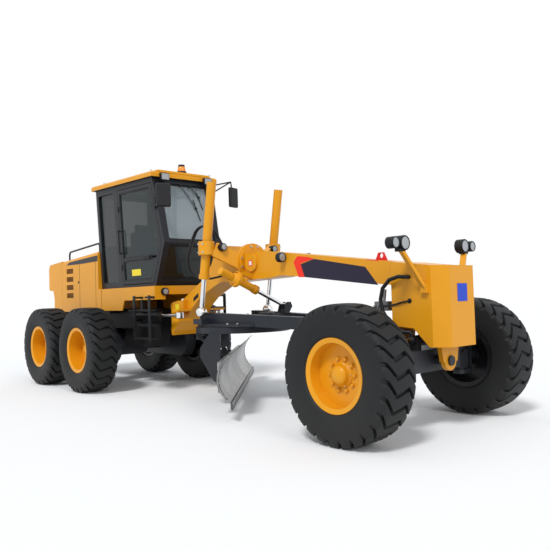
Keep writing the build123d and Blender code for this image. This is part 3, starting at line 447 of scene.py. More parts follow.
def add_plate(mesh, outline, thickness):
    """A plate from the points of its outline, thickened along a vector."""
    base = [mesh.verts.new(Vector(p)) for p in outline]
    top = [mesh.verts.new(Vector(p) + Vector(thickness)) for p in outline]
    mesh.faces.new(base)
    mesh.faces.new(list(reversed(top)))
    for (low, high), (low_after, high_after) in closed(list(zip(base, top))):
        mesh.faces.new((low, high, high_after, low_after))


def add_bolts(mesh, places, axis, radius, height):
    """Hexagon bolt heads, each with a washer."""
    for place in places:
        for wide, high, corners in ((radius * 1.35, height * 0.25, 12), (radius, height, 6)):
            add_turned(mesh, place, axis, [(0, 0), (0, wide), (high, wide), (high, 0)], corners)


print("a ring of 4:", [(round(c), round(s)) for c, s in around(4)])

# %% [markdown]
# A drawn mesh becomes an object that rides on a body, with a small bevel where edges should
# catch light. A hose is a curve instead: a round tube along a smooth line costs nothing there.

# %% Pieces and hoses
BEVEL_FROM, SHARP_FROM = math.radians(40), math.radians(38)


def piece(name, mesh, material=moulded_black, body=REAR, round_edges=0.0):
    """Make the drawn mesh an object that rides on a body; most trim is black and on the rear machine."""
    bmesh.ops.recalc_face_normals(mesh, faces=mesh.faces)
    data = bpy.data.meshes.new(name)
    mesh.to_mesh(data)
    mesh.free()
    data.materials.append(material)
    made = link(name, data)
    if round_edges:
        bevel = made.modifiers.new("rounded_edges", "BEVEL")
        bevel.width, bevel.segments = round_edges, 2
        bevel.limit_method, bevel.angle_limit = "ANGLE", BEVEL_FROM
    data.shade_smooth()
    data.set_sharp_from_angle(angle=SHARP_FROM)
    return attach(made, body)


def turned(name, origin, axis, profile, material=moulded_black, body=REAR, segments=32):
    """A piece that is one turned shape."""
    mesh = bmesh.new()
    add_turned(mesh, origin, axis, profile, segments)
    return piece(name, mesh, material, body)


def hose(name, points, radius, body):
    """A smooth rubber hose through given control points."""
    data = bpy.data.curves.new(name, "CURVE")
    data.dimensions = "3D"
    data.bevel_depth, data.bevel_resolution, data.use_fill_caps = radius, 3, True
    line = data.splines.new("NURBS")
    line.points.add(len(points) - 1)
    for control, place in zip(line.points, points):
        control.co = (*place, 1)
    line.order_u, line.use_endpoint_u, line.resolution_u = 3, True, 8
    data.materials.append(hose_rubber)
    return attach(link(name, data), body)


print("edges sharper than", round(math.degrees(BEVEL_FROM)), "degrees are rounded")

# %% [markdown]
# ## Tyres
# These are wide earthmover tyres. Each bar runs across the tread in a stretched Z, and so do the
# grooves between bars. Instead of cutting grooves, the tyre is woven as a grid whose columns
# follow the Z, so every groove wall falls on a grid line and stays crisp with few points.

# %% Tyre tread
BARS, TYRE_HALF_W = 26, 0.2225
PITCH = 2 * math.pi / BARS
# (radius, half width, groove depth) of the casing, from the bead out to the middle of the tread
CASING = [
    (0.323, 0.172, 0), (0.346, 0.176, 0), (0.356, 0.190, 0), (0.372, 0.199, 0), (0.378, 0.2035, 0),
    (0.384, 0.2035, 0), (0.42, 0.214, 0), (0.46, 0.2205, 0), (0.50, 0.2225, 0), (0.545, 0.2215, 0),
    (0.582, 0.2175, 0), (0.590, 0.2185, 0.008), (0.615, 0.2105, 0.022), (0.636, 0.199, 0.030),
    (0.6475, 0.185, 0.036),
    (0.6535, 0.160, 0.038), (0.657, 0.120, 0.038), (0.6585, 0.0846, 0.036), (0.6592, 0.055, 0.026),
    (0.6595, 0.025, 0.024), (0.66, 0, 0.026),
]
# (share of the half width, turn in degrees) of the Z that a bar follows from outside to inside
ZED = [(1.0, 0.0), (0.88, -1.0), (0.38, -13.0), (-0.38, -8.5), (-0.88, -20.5), (-1.0, -21.5)]
# (share of the pitch, share of the groove's depth) across a groove and the bar after it
ACROSS = [(-0.10, 1.0), (0.10, 1.0), (0.135, 0.15), (0.16, 0.0), (0.5, 0.0), (0.84, 0.0), (0.865, 0.15)]


def zed_turn(share):
    """Turn of the Z at a share of the half width, in radians."""
    for (w0, t0), (w1, t1) in zip(ZED, ZED[1:]):
        if share >= w1:
            return math.radians(t0 + (t1 - t0) * (w0 - share) / (w0 - w1))
    return math.radians(ZED[-1][1])


def tyre(name, side):
    """Weave one tyre around the middle of its CAD node."""
    centre = middle("tyre_" + name)
    casing = CASING + [(r, -w, d) for r, w, d in reversed(CASING[:-1])]
    mesh = bmesh.new()
    columns = []
    for bar in range(BARS):
        for share, deep in ACROSS:
            column = []
            for i, (radius, width, depth) in enumerate(casing):
                angle = (bar + share) * PITCH + zed_turn(width / TYRE_HALF_W)
                near, far = casing[max(i - 1, 0)], casing[min(i + 1, len(casing) - 1)]
                slope = Vector((far[1] - near[1], near[0] - far[0])).normalized()
                reach = radius - depth * deep * abs(slope.x)
                out = width - math.copysign(depth * deep * abs(slope.y), width)
                place = Vector((reach * math.cos(angle), side * out, reach * math.sin(angle)))
                column.append(mesh.verts.new(centre + place))
            columns.append(column)
    for column, after in closed(columns):
        for (low, low_after), (high, high_after) in closed(list(zip(column, after))):
            mesh.faces.new((low, high, high_after, low_after))
    made = piece("tyre_" + name + "_treaded", mesh, rubber, "wheel_" + name)
    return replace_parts(made, "tyre_" + name)


for name, side in WHEELS.items():
    tyre(name, side)
print(len(WHEELS), "tyres with", BARS, "bars each")

# %% [markdown]
# ## Rims
# The rims are CAD, because their dish is part of the construction. Nuts, hub cap and valve are
# small fasteners that only the eye asks for, so they are added here.

# %% Wheel nuts, hub caps and valves
NUTS, NUT_CIRCLE, STUD_CIRCLE, VALVE_AT = 10, 0.152, 0.106, 0.262
DISC_HALF, FRONT_DISC, REAR_DISC = 0.0155, 0.035, -0.055
HUB_CAP = [(0, 0.118), (0.012, 0.118), (0.018, 0.112), (0.020, 0.098), (0.058, 0.094), (0.078, 0.080),
           (0.092, 0.052), (0.097, 0)]


def wheel_trim(name, side):
    """Nuts on the disc, a bolted hub cap and the valve of one wheel."""
    body, out = "wheel_" + name, Vector((0, side, 0))
    offset = (FRONT_DISC if name.startswith("front") else REAR_DISC) + DISC_HALF
    disc = middle("rim_" + name) + Vector((0, side * offset, 0))
    nuts, studs = bmesh.new(), bmesh.new()
    places = [disc + Vector((NUT_CIRCLE * c, 0, NUT_CIRCLE * s)) for c, s in around(NUTS)]
    add_bolts(nuts, places, out, 0.017, 0.022)
    piece("wheel_nuts_" + name, nuts, amber_paint, body)
    turned("hub_cap_" + name, disc, out, HUB_CAP, amber_paint, body, 40)
    rim = disc + out * 0.018
    places = [rim + Vector((STUD_CIRCLE * c, 0, STUD_CIRCLE * s)) for c, s in around(NUTS)[::2]]
    add_bolts(studs, places, out, 0.006, 0.006)
    add_rod(studs, disc + Vector((VALVE_AT, 0, 0)), disc + Vector((VALVE_AT, 0.07 * side, 0)), 0.007, 10)
    piece("hub_studs_" + name, studs, zinc, body)


for name, side in WHEELS.items():
    wheel_trim(name, side)
print(NUTS * len(WHEELS), "wheel nuts")

# %% [markdown]
# ## Decals and plates
# Decals are thin sheets on the paint. Each is a flat outline, a hair thicker than nothing,
# standing just off the panel so that the two faces never flicker.

# %% Beam and hood decals
DECAL, DECAL_GAP = 0.0012, 0.0005
# (name, distance from the middle, material, body, (x, z) outline) of the decals on both sides
DECALS = [
    ("beam_arrow", BEAM_HALF_W, red_decal, FRONT, [
        (4.661, 1.886), (4.586, 1.817), (4.672, 1.627), (4.772, 1.623), (4.710, 1.793), (4.945, 1.835),
        (4.860, 1.858)]),
    ("beam_stripe", BEAM_HALF_W, navy_decal, FRONT, [
        (4.714, 1.784), (4.945, 1.8325), (5.722, 1.696), (5.775, 1.635), (5.897, 1.490), (4.774, 1.624)]),
    ("hood_stripe", HOOD_HALF_W, black_decal, REAR, [
        (-1.189, 2.100), (-1.080, 2.150), (-0.917, 2.160), (0.088, 2.205), (0.082, 2.105), (-0.500, 2.095)]),
    ("foot_label", 0.240, yellow_decal, FRONT, [(2.02, 1.25), (2.12, 1.25), (2.12, 1.33), (2.02, 1.33)]),
    ("arch_label", BEAM_HALF_W, black_decal, FRONT, [
        (2.405, 1.360), (2.535, 1.430), (2.535, 1.490), (2.405, 1.420)]),
]
for name, y, material, body, outline in DECALS:
    mesh = bmesh.new()
    for _, side in SIDES:
        add_plate(mesh, [spot(x, side * (y + DECAL_GAP), z) for x, z in outline], (0, side * DECAL, 0))
    piece(name, mesh, material, body)
plate = bmesh.new()
add_box(plate, spot(HEAD_FRONT_X + DECAL_GAP, -0.085, 1.30), spot(HEAD_FRONT_X + 0.004, 0.085, 1.475))
piece("head_plate", plate, blue_plate, FRONT, 0.001)
print("decals stand", DECAL_GAP * 1000, "mm off the paint")

# %% [markdown]
# ## Seating small parts on the metal
# Bolts and lenses have to sit exactly on their metal. Copied places would float as soon as a
# panel moves, so a ray is shot at the CAD node and the part goes where the ray lands.

# %% Ray helper
SUNK = 0.001


def touch(node, start, toward):
    """Where a ray lands on a CAD node: the place and the surface's outward direction."""
    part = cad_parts[node]
    inverse = part.matrix_world.inverted()
    hit, place, out, _ = part.ray_cast(inverse @ Vector(start), inverse.to_3x3() @ Vector(toward))
    if not hit:
        raise ValueError(f"no {node} from {tuple(start)} toward {tuple(toward)}")
    return part.matrix_world @ place, (part.matrix_world.to_3x3() @ out).normalized()


def seat_bolts(mesh, node, starts, toward, radius, height):
    """Bolts where rays land on a CAD node, left out where there is no metal; returns how many."""
    found = 0
    for start in starts:
        try:
            place, out = touch(node, start, toward)
        except ValueError:
            continue
        add_bolts(mesh, [place], out, radius, height)
        found += 1
    return found


print("hood side at", [round(v, 3) for v in touch("hood", spot(-0.68, -1.0, 1.77), (0, 1, 0))[0]])

# %% [markdown]
# ## Lamps
# A work lamp is a dark housing with a bezel ring and a slightly domed lens. The housings are
# CAD, so only the bezel and the lens are turned here, as profiles around the lamp's axis.

# %% Round lamp lenses
# (name, distance ahead, distance to the side, height, radius, body) of the lamps that face ahead
ROUND_LAMPS = [
    ("pod_lamp", 6.530, 0.525, 1.880, 0.066, FRONT), ("indicator", 6.530, 0.672, 1.880, 0.052, FRONT),
    ("beam_lamp", 4.455, 0.235, 1.885, 0.055, FRONT), ("saddle_lamp", 3.555, 0.450, 2.076, 0.045, FRONT),
    ("head_lamp", 1.985, 0.385, 1.528, 0.048, REAR),
]
# (distance ahead in metres, share of the lamp's radius)
BEZEL = [(0, 0.90), (0, 1.08), (0.007, 1.06), (0.010, 0.97), (0.002, 0.90)]
DOME = [(0, 0), (0, 0.92), (0.004, 0.90), (0.007, 0.62), (0.008, 0.3), (0.0085, 0)]

for name, x, y, z, radius, body in ROUND_LAMPS:
    for hand, side in SIDES:
        for part, profile, material in (("_bezel", BEZEL, moulded_black), ("_lens", DOME, lamp_glass)):
            shape = [(along, radius * share) for along, share in profile]
            turned(name + "_" + hand + part, spot(x, side * y, z), (1, 0, 0), shape, material, body)
print(2 * len(ROUND_LAMPS), "round lamps")

# %% [markdown]
# The roof's and the tail's lamps are square, so a thin box does. The tail lamps are red in
# their own colour, because they are off. The beacon is a turned amber dome in a black collar.

# %% Square lamps and beacon
# spans of a lens along the machine, out from its middle and up
ROOF_LENS = (2.0752, 2.080), (0.332, 0.458), (3.217, 3.308)
TAIL_LENS = (-2.0292, -2.0282), (0.448, 0.512), (1.805, 1.975)
BEACON_X = 1.920
BEACON_DOME = [(0.030, 0.0655), (0.030, 0.0665), (0.060, 0.0630), (0.098, 0.0565), (0.1075, 0.050),
               (0.1078, 0)]
BEACON_COLLAR = [(0, 0.064), (0, 0.080), (0.010, 0.080), (0.026, 0.070), (0.030, 0.0675), (0.030, 0.064)]


def square_lens(name, side, spans, material, round_edges):
    """A lens as a thin box on one side of the rear machine."""
    mesh = bmesh.new()
    add_side_box(mesh, side, *spans)
    return piece(name, mesh, material, REAR, round_edges)


for hand, side in SIDES:
    square_lens("roof_lamp_lens_" + hand, side, ROOF_LENS, lamp_glass, 0.003)
    square_lens("tail_lamp_lens_" + hand, side, TAIL_LENS, tail_red, 0.0004)
roof_top, _ = touch("cab_roof", spot(BEACON_X, 0.10, 3.8), -UP)
beacon_at = spot(BEACON_X, 0, roof_top.z - 0.002)
turned("beacon_dome", beacon_at, UP, BEACON_DOME, beacon_lens, REAR, 40)
turned("beacon_collar", beacon_at, UP, BEACON_COLLAR, segments=40)
print("beacon stands at", round(beacon_at.z, 3), "m")

# %% [markdown]
# ## Cab trim
# A rubber seal shows as a dark lip around each pane. The side walls lean inwards, so every strip
# on them is drawn from points whose distance from the middle depends on their height.

# %% Leaning sides and seal strips
CAB_TOP_Z, CAB_TOP_HALF_W, CAB_LEAN = 3.265, 0.560, math.tan(math.radians(2.784))
SEAL_DEPTH, SEAL_WIDTH, SEAL_LIP = 0.0155, 0.022, 0.010


def cab_side(side, x, z, out=0.0):
    """A point on the cab's leaning side wall, moved outwards."""
    return spot(x, side * (CAB_TOP_HALF_W - (CAB_TOP_Z - z) * CAB_LEAN + out), z)


def inward(outline, distance):
    """The corners of a convex outline of (a, b) pairs, each edge moved inwards."""
    centre = Vector([sum(values) / len(outline) for values in zip(*outline)])
    edges = []
    for (a0, b0), (a1, b1) in closed(outline):
        run = Vector((a1 - a0, b1 - b0)).normalized()
        off = Vector((-run.y, run.x))
        if off.dot(centre - Vector((a0, b0))) < 0:
            off.negate()
        edges.append((Vector((a0, b0)) + off * distance, run))
    corners = []
    for (p, u), (q, v) in zip(edges[-1:] + edges[:-1], edges):
        along = ((q.x - p.x) * v.y - (q.y - p.y) * v.x) / (u.x * v.y - u.y * v.x)
        corners.append(tuple(p + u * along))
    return corners


def add_seal(mesh, outline, place, thickness):
    """A closed strip inside an outline, whose pairs `place` puts in space, thickened along a vector."""
    depths = (Vector(), Vector(thickness))
    low_out, high_out, low_in, high_in = (
        [mesh.verts.new(place(a, b) + depth) for a, b in edge]
        for edge in (outline, inward(outline, SEAL_WIDTH)) for depth in depths)
    for i in range(len(outline)):
        j = (i + 1) % len(outline)
        for a, b in ((low_out, high_out), (high_out, high_in), (high_in, low_in), (low_in, low_out)):
            mesh.faces.new((a[i], a[j], b[j], b[i]))


print("half width of the cab at its knee:", round(abs(cab_side(1, 0, KNEE_Z).y), 3))

# %% [markdown]
# Each door has a tall window above a cross bar and a low one below it. Its seals, pull bar and
# latch ride on the door's own body, so that they swing with it.

# %% Door seals, pull and latch
DOOR_HOLE = [(0.913, 1.723), (0.913, 3.145), (1.847, 3.122), (2.047, 2.260), (1.762, 1.723)]
BAR_Z = (2.050, 2.080)
PULL_X, PULL_Z, PULL_OUT = 0.890, (2.160, 2.560), 0.045
LATCH = ((1.60, 2.035), (1.74, 2.035), (1.76, 2.095), (1.60, 2.095))


def on_front_edge(z):
    """The point at a height on the low, sloping part of the door window's front edge."""
    (x1, z1), (x0, z0) = DOOR_HOLE[3:]
    return x0 + (z - z0) * ((x1 - x0) / (z1 - z0)), z


WINDOWS = {
    "upper": [(DOOR_HOLE[0][0], BAR_Z[1]), *DOOR_HOLE[1:4], on_front_edge(BAR_Z[1])],
    "lower": [DOOR_HOLE[0], (DOOR_HOLE[0][0], BAR_Z[0]), on_front_edge(BAR_Z[0]), DOOR_HOLE[4]],
}


def door_trim(hand, side):
    """Seals, pull bar and latch of one door."""
    body = "door_" + hand
    for window, outline in WINDOWS.items():
        seal = bmesh.new()
        add_seal(seal, outline, lambda x, z: cab_side(side, x, z, -SEAL_DEPTH), (0, side * SEAL_LIP, 0))
        piece("door_seal_" + window + "_" + hand, seal, moulded_black, body, 0.002)
    pull = bmesh.new()
    low, high = (cab_side(side, PULL_X, z, PULL_OUT) for z in PULL_Z)
    add_rod(pull, low, high, 0.011, 16)
    for z in (PULL_Z[0] + 0.02, PULL_Z[1] - 0.02):
        add_rod(pull, cab_side(side, PULL_X, z, -0.004), cab_side(side, PULL_X, z, PULL_OUT), 0.010, 16)
    piece("door_pull_" + hand, pull, moulded_black, body)
    latch = bmesh.new()
    add_plate(latch, [cab_side(side, x, z, 0.0005) for x, z in LATCH], (0, side * 0.016, 0))
    add_rod(latch, cab_side(side, 1.635, 2.065, 0.010), cab_side(side, 1.635, 2.065, 0.026), 0.014, 20)
    piece("door_latch_" + hand, latch, moulded_black, body, 0.003)


for hand, side in SIDES:
    door_trim(hand, side)
STICKER, STICKER_Z = ((1.14, 1.80), (1.42, 1.80), (1.42, 1.90), (1.14, 1.90)), 1.85
sticker = bmesh.new()
pane, _ = touch("door_glass_right", spot(1.28, -1.0, STICKER_Z), (0, 1, 0))
corners = [Vector((spot(x, 0, z).x, pane.y - 0.0006 - (z - STICKER_Z) * CAB_LEAN, z)) for x, z in STICKER]
add_plate(sticker, corners, (0, -0.0008, 0))
piece("door_sticker", sticker, yellow_decal, "door_right")
print("door windows:", {name: len(outline) for name, outline in WINDOWS.items()}, "corners")

# %% [markdown]
# The windscreen leans back above the knee line and in below it, so two functions give a point
# on its upper and on its lower half, and its seals are drawn from those.

# %% Windscreen seals
KNEE_X, HEAD_X, FOOT_X = 2.190, 1.950, 1.865
HEAD_RISE, FOOT_DROP, PANE_IN, PANE_HALF_W = 1.005, 0.640, 0.030, 0.425


def pane_point(y, z, out=0.0):
    """A point on the upper windscreen, moved off the glass."""
    x = KNEE_X + (z - KNEE_Z) * (HEAD_X - KNEE_X) / HEAD_RISE - PANE_IN
    return spot(x, y, z) + Vector((0.972, 0, 0.233)) * out


def low_pane_point(y, z, out=0.0):
    """A point on the lower windscreen, moved off the glass."""
    x = KNEE_X + (z - KNEE_Z) * (KNEE_X - FOOT_X) / FOOT_DROP - PANE_IN
    return spot(x, y, z) + Vector((0.892, 0, -0.453)) * out


seals = bmesh.new()
for point, z0, z1 in ((pane_point, 2.297, 3.180), (low_pane_point, 1.726, 2.220)):
    outline = [(-PANE_HALF_W, z0), (PANE_HALF_W, z0), (PANE_HALF_W, z1), (-PANE_HALF_W, z1)]
    add_seal(seals, outline, lambda y, z: point(y, z, 0.0006), point(0, 2, SEAL_LIP) - point(0, 2))
piece("windscreen_seals", seals, round_edges=0.002)
print("windscreen seals", 2 * PANE_HALF_W, "m wide")

# %% [markdown]
# Two wipers hang from pivots under the roof. Each is drawn on the pane from its pivot, the elbow
# where the double arm holds the blade, and the blade's ends; only the blade touches the glass.

# %% Wipers
ARM_HALF, PIVOT_DROP = 0.012, 0.085


def wiper(name, pivot, elbow, blade):
    """Double arm from its pivot to an elbow, and the blade through the elbow."""
    mesh = bmesh.new()
    pivot_y, pivot_z = pivot[0], pivot[1] - PIVOT_DROP
    for y in (-ARM_HALF, ARM_HALF):
        near, far = pane_point(pivot_y + y, pivot_z, 0.034), pane_point(elbow[0] + y, elbow[1], 0.022)
        add_rod(mesh, near, far, 0.0035, 10)
    add_rod(mesh, pane_point(pivot_y, pivot_z, 0.002), pane_point(pivot_y, pivot_z, 0.040), 0.018, 20)
    low, high = blade
    corners = ((low, 0.003), (high, 0.003), (high, 0.018), (low, 0.018))
    add_plate(mesh, [pane_point(*end, out) for end, out in corners], (0, 0.007, 0))
    joint = pane_point(*elbow, 0.020)
    add_box(mesh, joint - Vector((0.012, 0.018, 0.018)), joint + Vector((0.006, 0.018, 0.018)))
    return piece(name, mesh)


wiper("wiper_long", (-0.058, 3.245), (0.166, 2.807), ((0.215, 2.620), (0.140, 2.960)))
wiper("wiper_short", (0.109, 3.245), (0.252, 2.997), ((0.300, 2.800), (0.225, 3.080)))
print("wiper pivots", PIVOT_DROP, "m below the roof")

# %% [markdown]
# The roof is a painted tray. A liner closes its overhang from below, and ring eyes stand at its
# corners to lift the cab off.

# %% Roof liner and lifting eyes
ROOF_FALL, LINER_GAP = 0.024, 0.0012
# (back, front, right, left) of the liner's four strips
LINER = ((0.030, 0.098, -0.595, 0.595), (1.953, 2.005, -0.595, 0.595), (0.098, 1.953, -0.595, -0.563),
         (0.098, 1.953, 0.563, 0.595))
EYES, EYE_RING = ((1.84, -0.50), (1.98, 0.49), (0.30, -0.50), (0.30, 0.50)), 0.017
EYE_FOOT = [(0, 0), (0, 0.020), (0.012, 0.020), (0.014, 0.012), (0.016, 0)]

liner = bmesh.new()
for x0, x1, y0, y1 in LINER:
    corners = ((x0, y0), (x1, y0), (x1, y1), (x0, y1))
    under = [spot(x, y, CAB_TOP_Z + (HEAD_X - x) * ROOF_FALL - LINER_GAP) for x, y in corners]
    add_plate(liner, under, (0, 0, -0.003))
piece("roof_liner", liner)
for number, (x, y) in enumerate(EYES, 1):
    eye = bmesh.new()
    foot, _ = touch("cab_roof", spot(x, y, 3.8), -UP)
    add_turned(eye, foot - UP * 0.002, UP, EYE_FOOT, 20)
    for a, b in closed([foot + Vector((0, EYE_RING * s, 0.030 + EYE_RING * c)) for c, s in around(20)]):
        add_rod(eye, a, b, 0.005, 8)
    piece("lifting_eye_%d" % number, eye, zinc, REAR)
print(len(EYES), "lifting eyes")

# %% [markdown]
# ## Hood
# Behind a hood's louvre slots sits a mesh that keeps leaves out. A thin sheet and three slats in
# each slot give that look without a grid of wires. Both wear amber darkened to brown, as painted
# shade inside the slots. Seam strips and a lock finish the sides.

# %% Louvres, seams and lock
LOUVRES_X, LOUVRES_Z = (-1.200, -0.910), (1.490, 1.640, 1.790, 1.940)
SLAT, SLAT_LIFTS = ((0.546, 0.0), (0.528, 0.016), (0.528, 0.022), (0.546, 0.006)), (0.012, 0.038, 0.064)
SEAMS, SEAM_Y = ((0.0, 1.245, 2.205), (-0.640, 1.245, 2.165)), (HOOD_HALF_W + 0.0004, HOOD_HALF_W + 0.0016)
LOCK = [(0, 0), (0, 0.024), (0.005, 0.022), (0.006, 0.012), (0.002, 0.010), (0.002, 0)]

for hand, side in SIDES:
    sheet = bmesh.new()
    add_side_box(sheet, side, (LOUVRES_X[0] - 0.03, LOUVRES_X[1] + 0.03), (0.5235, 0.5265),
                 (LOUVRES_Z[0] - 0.03, LOUVRES_Z[-1] + 0.12))
    for z in LOUVRES_Z:
        for lift in SLAT_LIFTS:
            slat = [spot(LOUVRES_X[0] + 0.0005, side * y, z + lift + up) for y, up in SLAT]
            add_plate(sheet, slat, (LOUVRES_X[1] - LOUVRES_X[0] - 0.001, 0, 0))
    piece("louvre_mesh_" + hand, sheet, louvre_shaded_amber, REAR)
    seam = bmesh.new()
    for x, z0, z1 in SEAMS:
        add_side_box(seam, side, (x - 0.0035, x + 0.0035), SEAM_Y, (z0, z1))
    piece("hood_seam_" + hand, seam)
    place, out = touch("hood", spot(-0.683, side, 1.768), (0, -side, 0))
    turned("hood_lock_" + hand, place - out * SUNK, out, LOCK, segments=24)
print(len(LOUVRES_Z), "louvre slots on each side")

# %% [markdown]
# The radiator breathes through the tail. Upright bars stand in its opening, and two rows of
# bolts, seated with rays from behind, hold the bumper.

# %% Grille bars and bumper bolts
BAR_PITCH, BAR_HALF_W = 0.034, 0.002
bars = bmesh.new()
for i in range(-12, 13):
    y = i * BAR_PITCH
    add_box(bars, spot(-1.986, y - BAR_HALF_W, 1.762), spot(-1.980, y + BAR_HALF_W, 2.028))
piece("grille_bars", bars, black_paint, REAR)
bumper = bmesh.new()
starts = [spot(-3.0, y, z) for y in (-0.40, -0.15, 0.15, 0.40) for z in (0.93, 1.05)]
print(seat_bolts(bumper, "rear_frame", starts, (1, 0, 0), 0.014, 0.012), "bumper bolts")
piece("bumper_bolts", bumper, zinc, REAR)

# %% [markdown]
# ## Seat
# The seat is foam under stitched cloth. Foam swells in the middle and is held back at corners and
# seams, so each cushion is a rounded block with crowned faces, drawn-in sides and pressed seams.
# That is cheaper and steadier than a cloth simulation for such firm foam.

# %% Cushion shape
CUTS, ROUNDNESS, DRAWN_IN = 14, 0.26, 0.035
SEAM_DEPTH, SEAM_SPREAD = 0.007, 0.045
PIPING_STEPS, PIPING_IN, PIPING_POWER = 48, 0.012, 4.5


def rounder(a, b, c):
    """A cube's coordinate as it would lie on a ball."""
    return a * math.sqrt(1 - b * b / 2 - c * c / 2 + b * b * c * c / 3)


def squircle(c, s, power):
    """How far a square with round corners reaches in a direction."""
    return (abs(c) ** power + abs(s) ** power) ** (-1 / power)


def cushion(name, centre, half, tilt=0.0, seams=(), crown=0.018):
    """A stuffed block: crowned faces, sides drawn in, corners rounded and seams pressed in."""
    mesh = bmesh.new()
    bmesh.ops.create_cube(mesh, size=2)
    bmesh.ops.subdivide_edges(mesh, edges=mesh.edges, cuts=CUTS, use_grid_fill=True)
    turn = Matrix.Rotation(tilt, 3, "Y")
    for vert in mesh.verts:
        a, b, c = vert.co
        soft = Vector((rounder(a, b, c), rounder(b, a, c), rounder(c, a, b)))
        form = Vector((a, b, c)) * (1 - ROUNDNESS) + soft * ROUNDNESS
        form.x *= 1 - DRAWN_IN * (1 - b * b) * (abs(a) ** 4)
        form.y *= 1 - DRAWN_IN * (1 - a * a) * (abs(b) ** 4)
        place = Vector((form.x * (half.x - crown * 0.2), form.y * (half.y - crown * 0.2),
                        form.z * (half.z - crown)))
        place.z += crown * (1 - a * a) * (1 - b * b) * c
        for line in seams:
            groove = math.copysign(SEAM_DEPTH, c) * math.exp(-((b - line) / SEAM_SPREAD) ** 2)
            place.z -= groove * (abs(c) ** 6)
        vert.co = centre + turn @ place
    made = piece(name, mesh, seat_cloth, REAR)
    smooth = made.modifiers.new("soft_surface", "SUBSURF")
    smooth.levels = smooth.render_levels = 1
    return made


def piping(name, centre, half, tilt=0.0):
    """The corded seam around a cushion's edge."""
    turn = Matrix.Rotation(tilt, 3, "Y")
    path = []
    for c, s in around(PIPING_STEPS):
        reach, draw = squircle(c, s, PIPING_POWER), 1 - PIPING_IN
        path.append(centre + turn @ Vector((c * reach * half.x * draw, s * reach * half.y * draw, 0)))
    mesh = bmesh.new()
    for a, b in closed(path):
        add_rod(mesh, a, b, 0.005, 8)
    return piece(name, mesh, piping_cloth, REAR)


print("each cushion starts from", 6 * (CUTS + 1) ** 2, "faces")

# %% [markdown]
# The seat has three cushions, arm rests and a bellows over its suspension. The two pieces that
# take the place of the plain CAD block say so, so that the block isn't shown as well.

# %% Seat cushions and base
SEAMS_Y = (-0.45, 0.45)
bottom_at, bottom_half = spot(0.875, 0, 2.020), Vector((0.238, 0.248, 0.062))
back_at, back_half, back_tilt = spot(0.690, 0, 2.330), Vector((0.245, 0.236, 0.055)), math.radians(-95.5)
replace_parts(cushion("seat_cushion", bottom_at, bottom_half, 0.0, SEAMS_Y), "seat")
cushion("seat_back_cushion", back_at, back_half, back_tilt, SEAMS_Y)
cushion("head_rest", spot(0.655, 0, 2.630), Vector((0.068, 0.140, 0.048)), back_tilt, (), 0.012)
piping("seat_cushion_piping", bottom_at, bottom_half)
piping("seat_back_piping", back_at, back_half, back_tilt)
base = bmesh.new()
add_box(base, spot(0.700, -0.200, 1.6925), spot(1.050, 0.200, 1.720))
add_box(base, spot(0.690, -0.195, 1.915), spot(1.060, 0.195, 1.958))
FOLDS, FOLD_PITCH = 5, 0.038
for fold in range(FOLDS):
    grow, up = 0.012 if fold % 2 else 0.0, fold * FOLD_PITCH
    add_box(base, spot(0.735 - grow, -0.150 - grow, 1.722 + up), spot(1.015 + grow, 0.150 + grow, 1.758 + up))
for _, side in SIDES:
    add_side_box(base, side, (0.690, 1.030), (0.262, 0.304), (2.172, 2.213))
    add_side_box(base, side, (0.680, 0.732), (0.206, 0.304), (2.000, 2.172))
for y in (-0.05, 0.05):
    add_rod(base, spot(0.668, y, 2.540), spot(0.660, y, 2.600), 0.007, 12)
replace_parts(piece("seat_base", base, round_edges=0.006), "seat")
print("seat cushion", [round(2 * v, 3) for v in bottom_half], "m")

# %% [markdown]
# ## Levers
# The blade is worked from two banks of short levers beside the steering column, each a steel
# stalk with a turned knob.

# %% Lever banks and dash
LEVERS, KNOB = 4, [(-0.006, 0), (-0.006, 0.009), (0.010, 0.015), (0.026, 0.014), (0.034, 0.007), (0.036, 0)]
levers, knobs = bmesh.new(), bmesh.new()
for _, side in SIDES:
    for i in range(LEVERS):
        foot = spot(1.420 + 0.012 * i, side * (0.085 + 0.030 * i), 2.235)
        head = foot + Vector((-0.070, side * 0.012, 0.150))
        add_rod(levers, foot, head, 0.005, 10)
        add_turned(knobs, head, head - foot, KNOB, 16)
add_box(levers, spot(1.390, -0.205, 2.205), spot(1.500, 0.205, 2.238))
piece("lever_stalks", levers, round_edges=0.003)
piece("lever_knobs", knobs, black_decal, REAR)
print(2 * LEVERS, "levers")

# %% [markdown]
# ## Mirrors
# The mirror heads are CAD shells; the glass is a rounded plate laid on the face that looks back.

# %% Mirror glass
# (side, start of a ray from behind, half width, half height)
MIRRORS = (("right", (2.2, -0.757, 2.890), 0.080, 0.140), ("left", (1.6, 0.957, 3.060), 0.090, 0.160))
for hand, start, half_w, half_h in MIRRORS:
    place, out = touch("mirrors", spot(*start), (1, 0, 0))
    across = out.cross(UP).normalized()
    corners = []
    for c, s in around(24, 0.5):
        reach = squircle(c, s, 6)
        corner = across * (c * reach * half_w) + Vector((0, 0, s * reach * half_h))
        corners.append(place + out * 0.0005 + corner)
    sheet = bmesh.new()
    add_plate(sheet, corners, out * 0.002)
    piece("mirror_glass_" + hand, sheet, mirror_glass, REAR)
print(len(MIRRORS), "mirrors")

# %% [markdown]
# ## Hydraulics on the beam
# Hoses come out of the cab's front, run along the right lift cylinder and cross to the saddle.
# One line of control points, used three times with a small offset, keeps the bundle together.

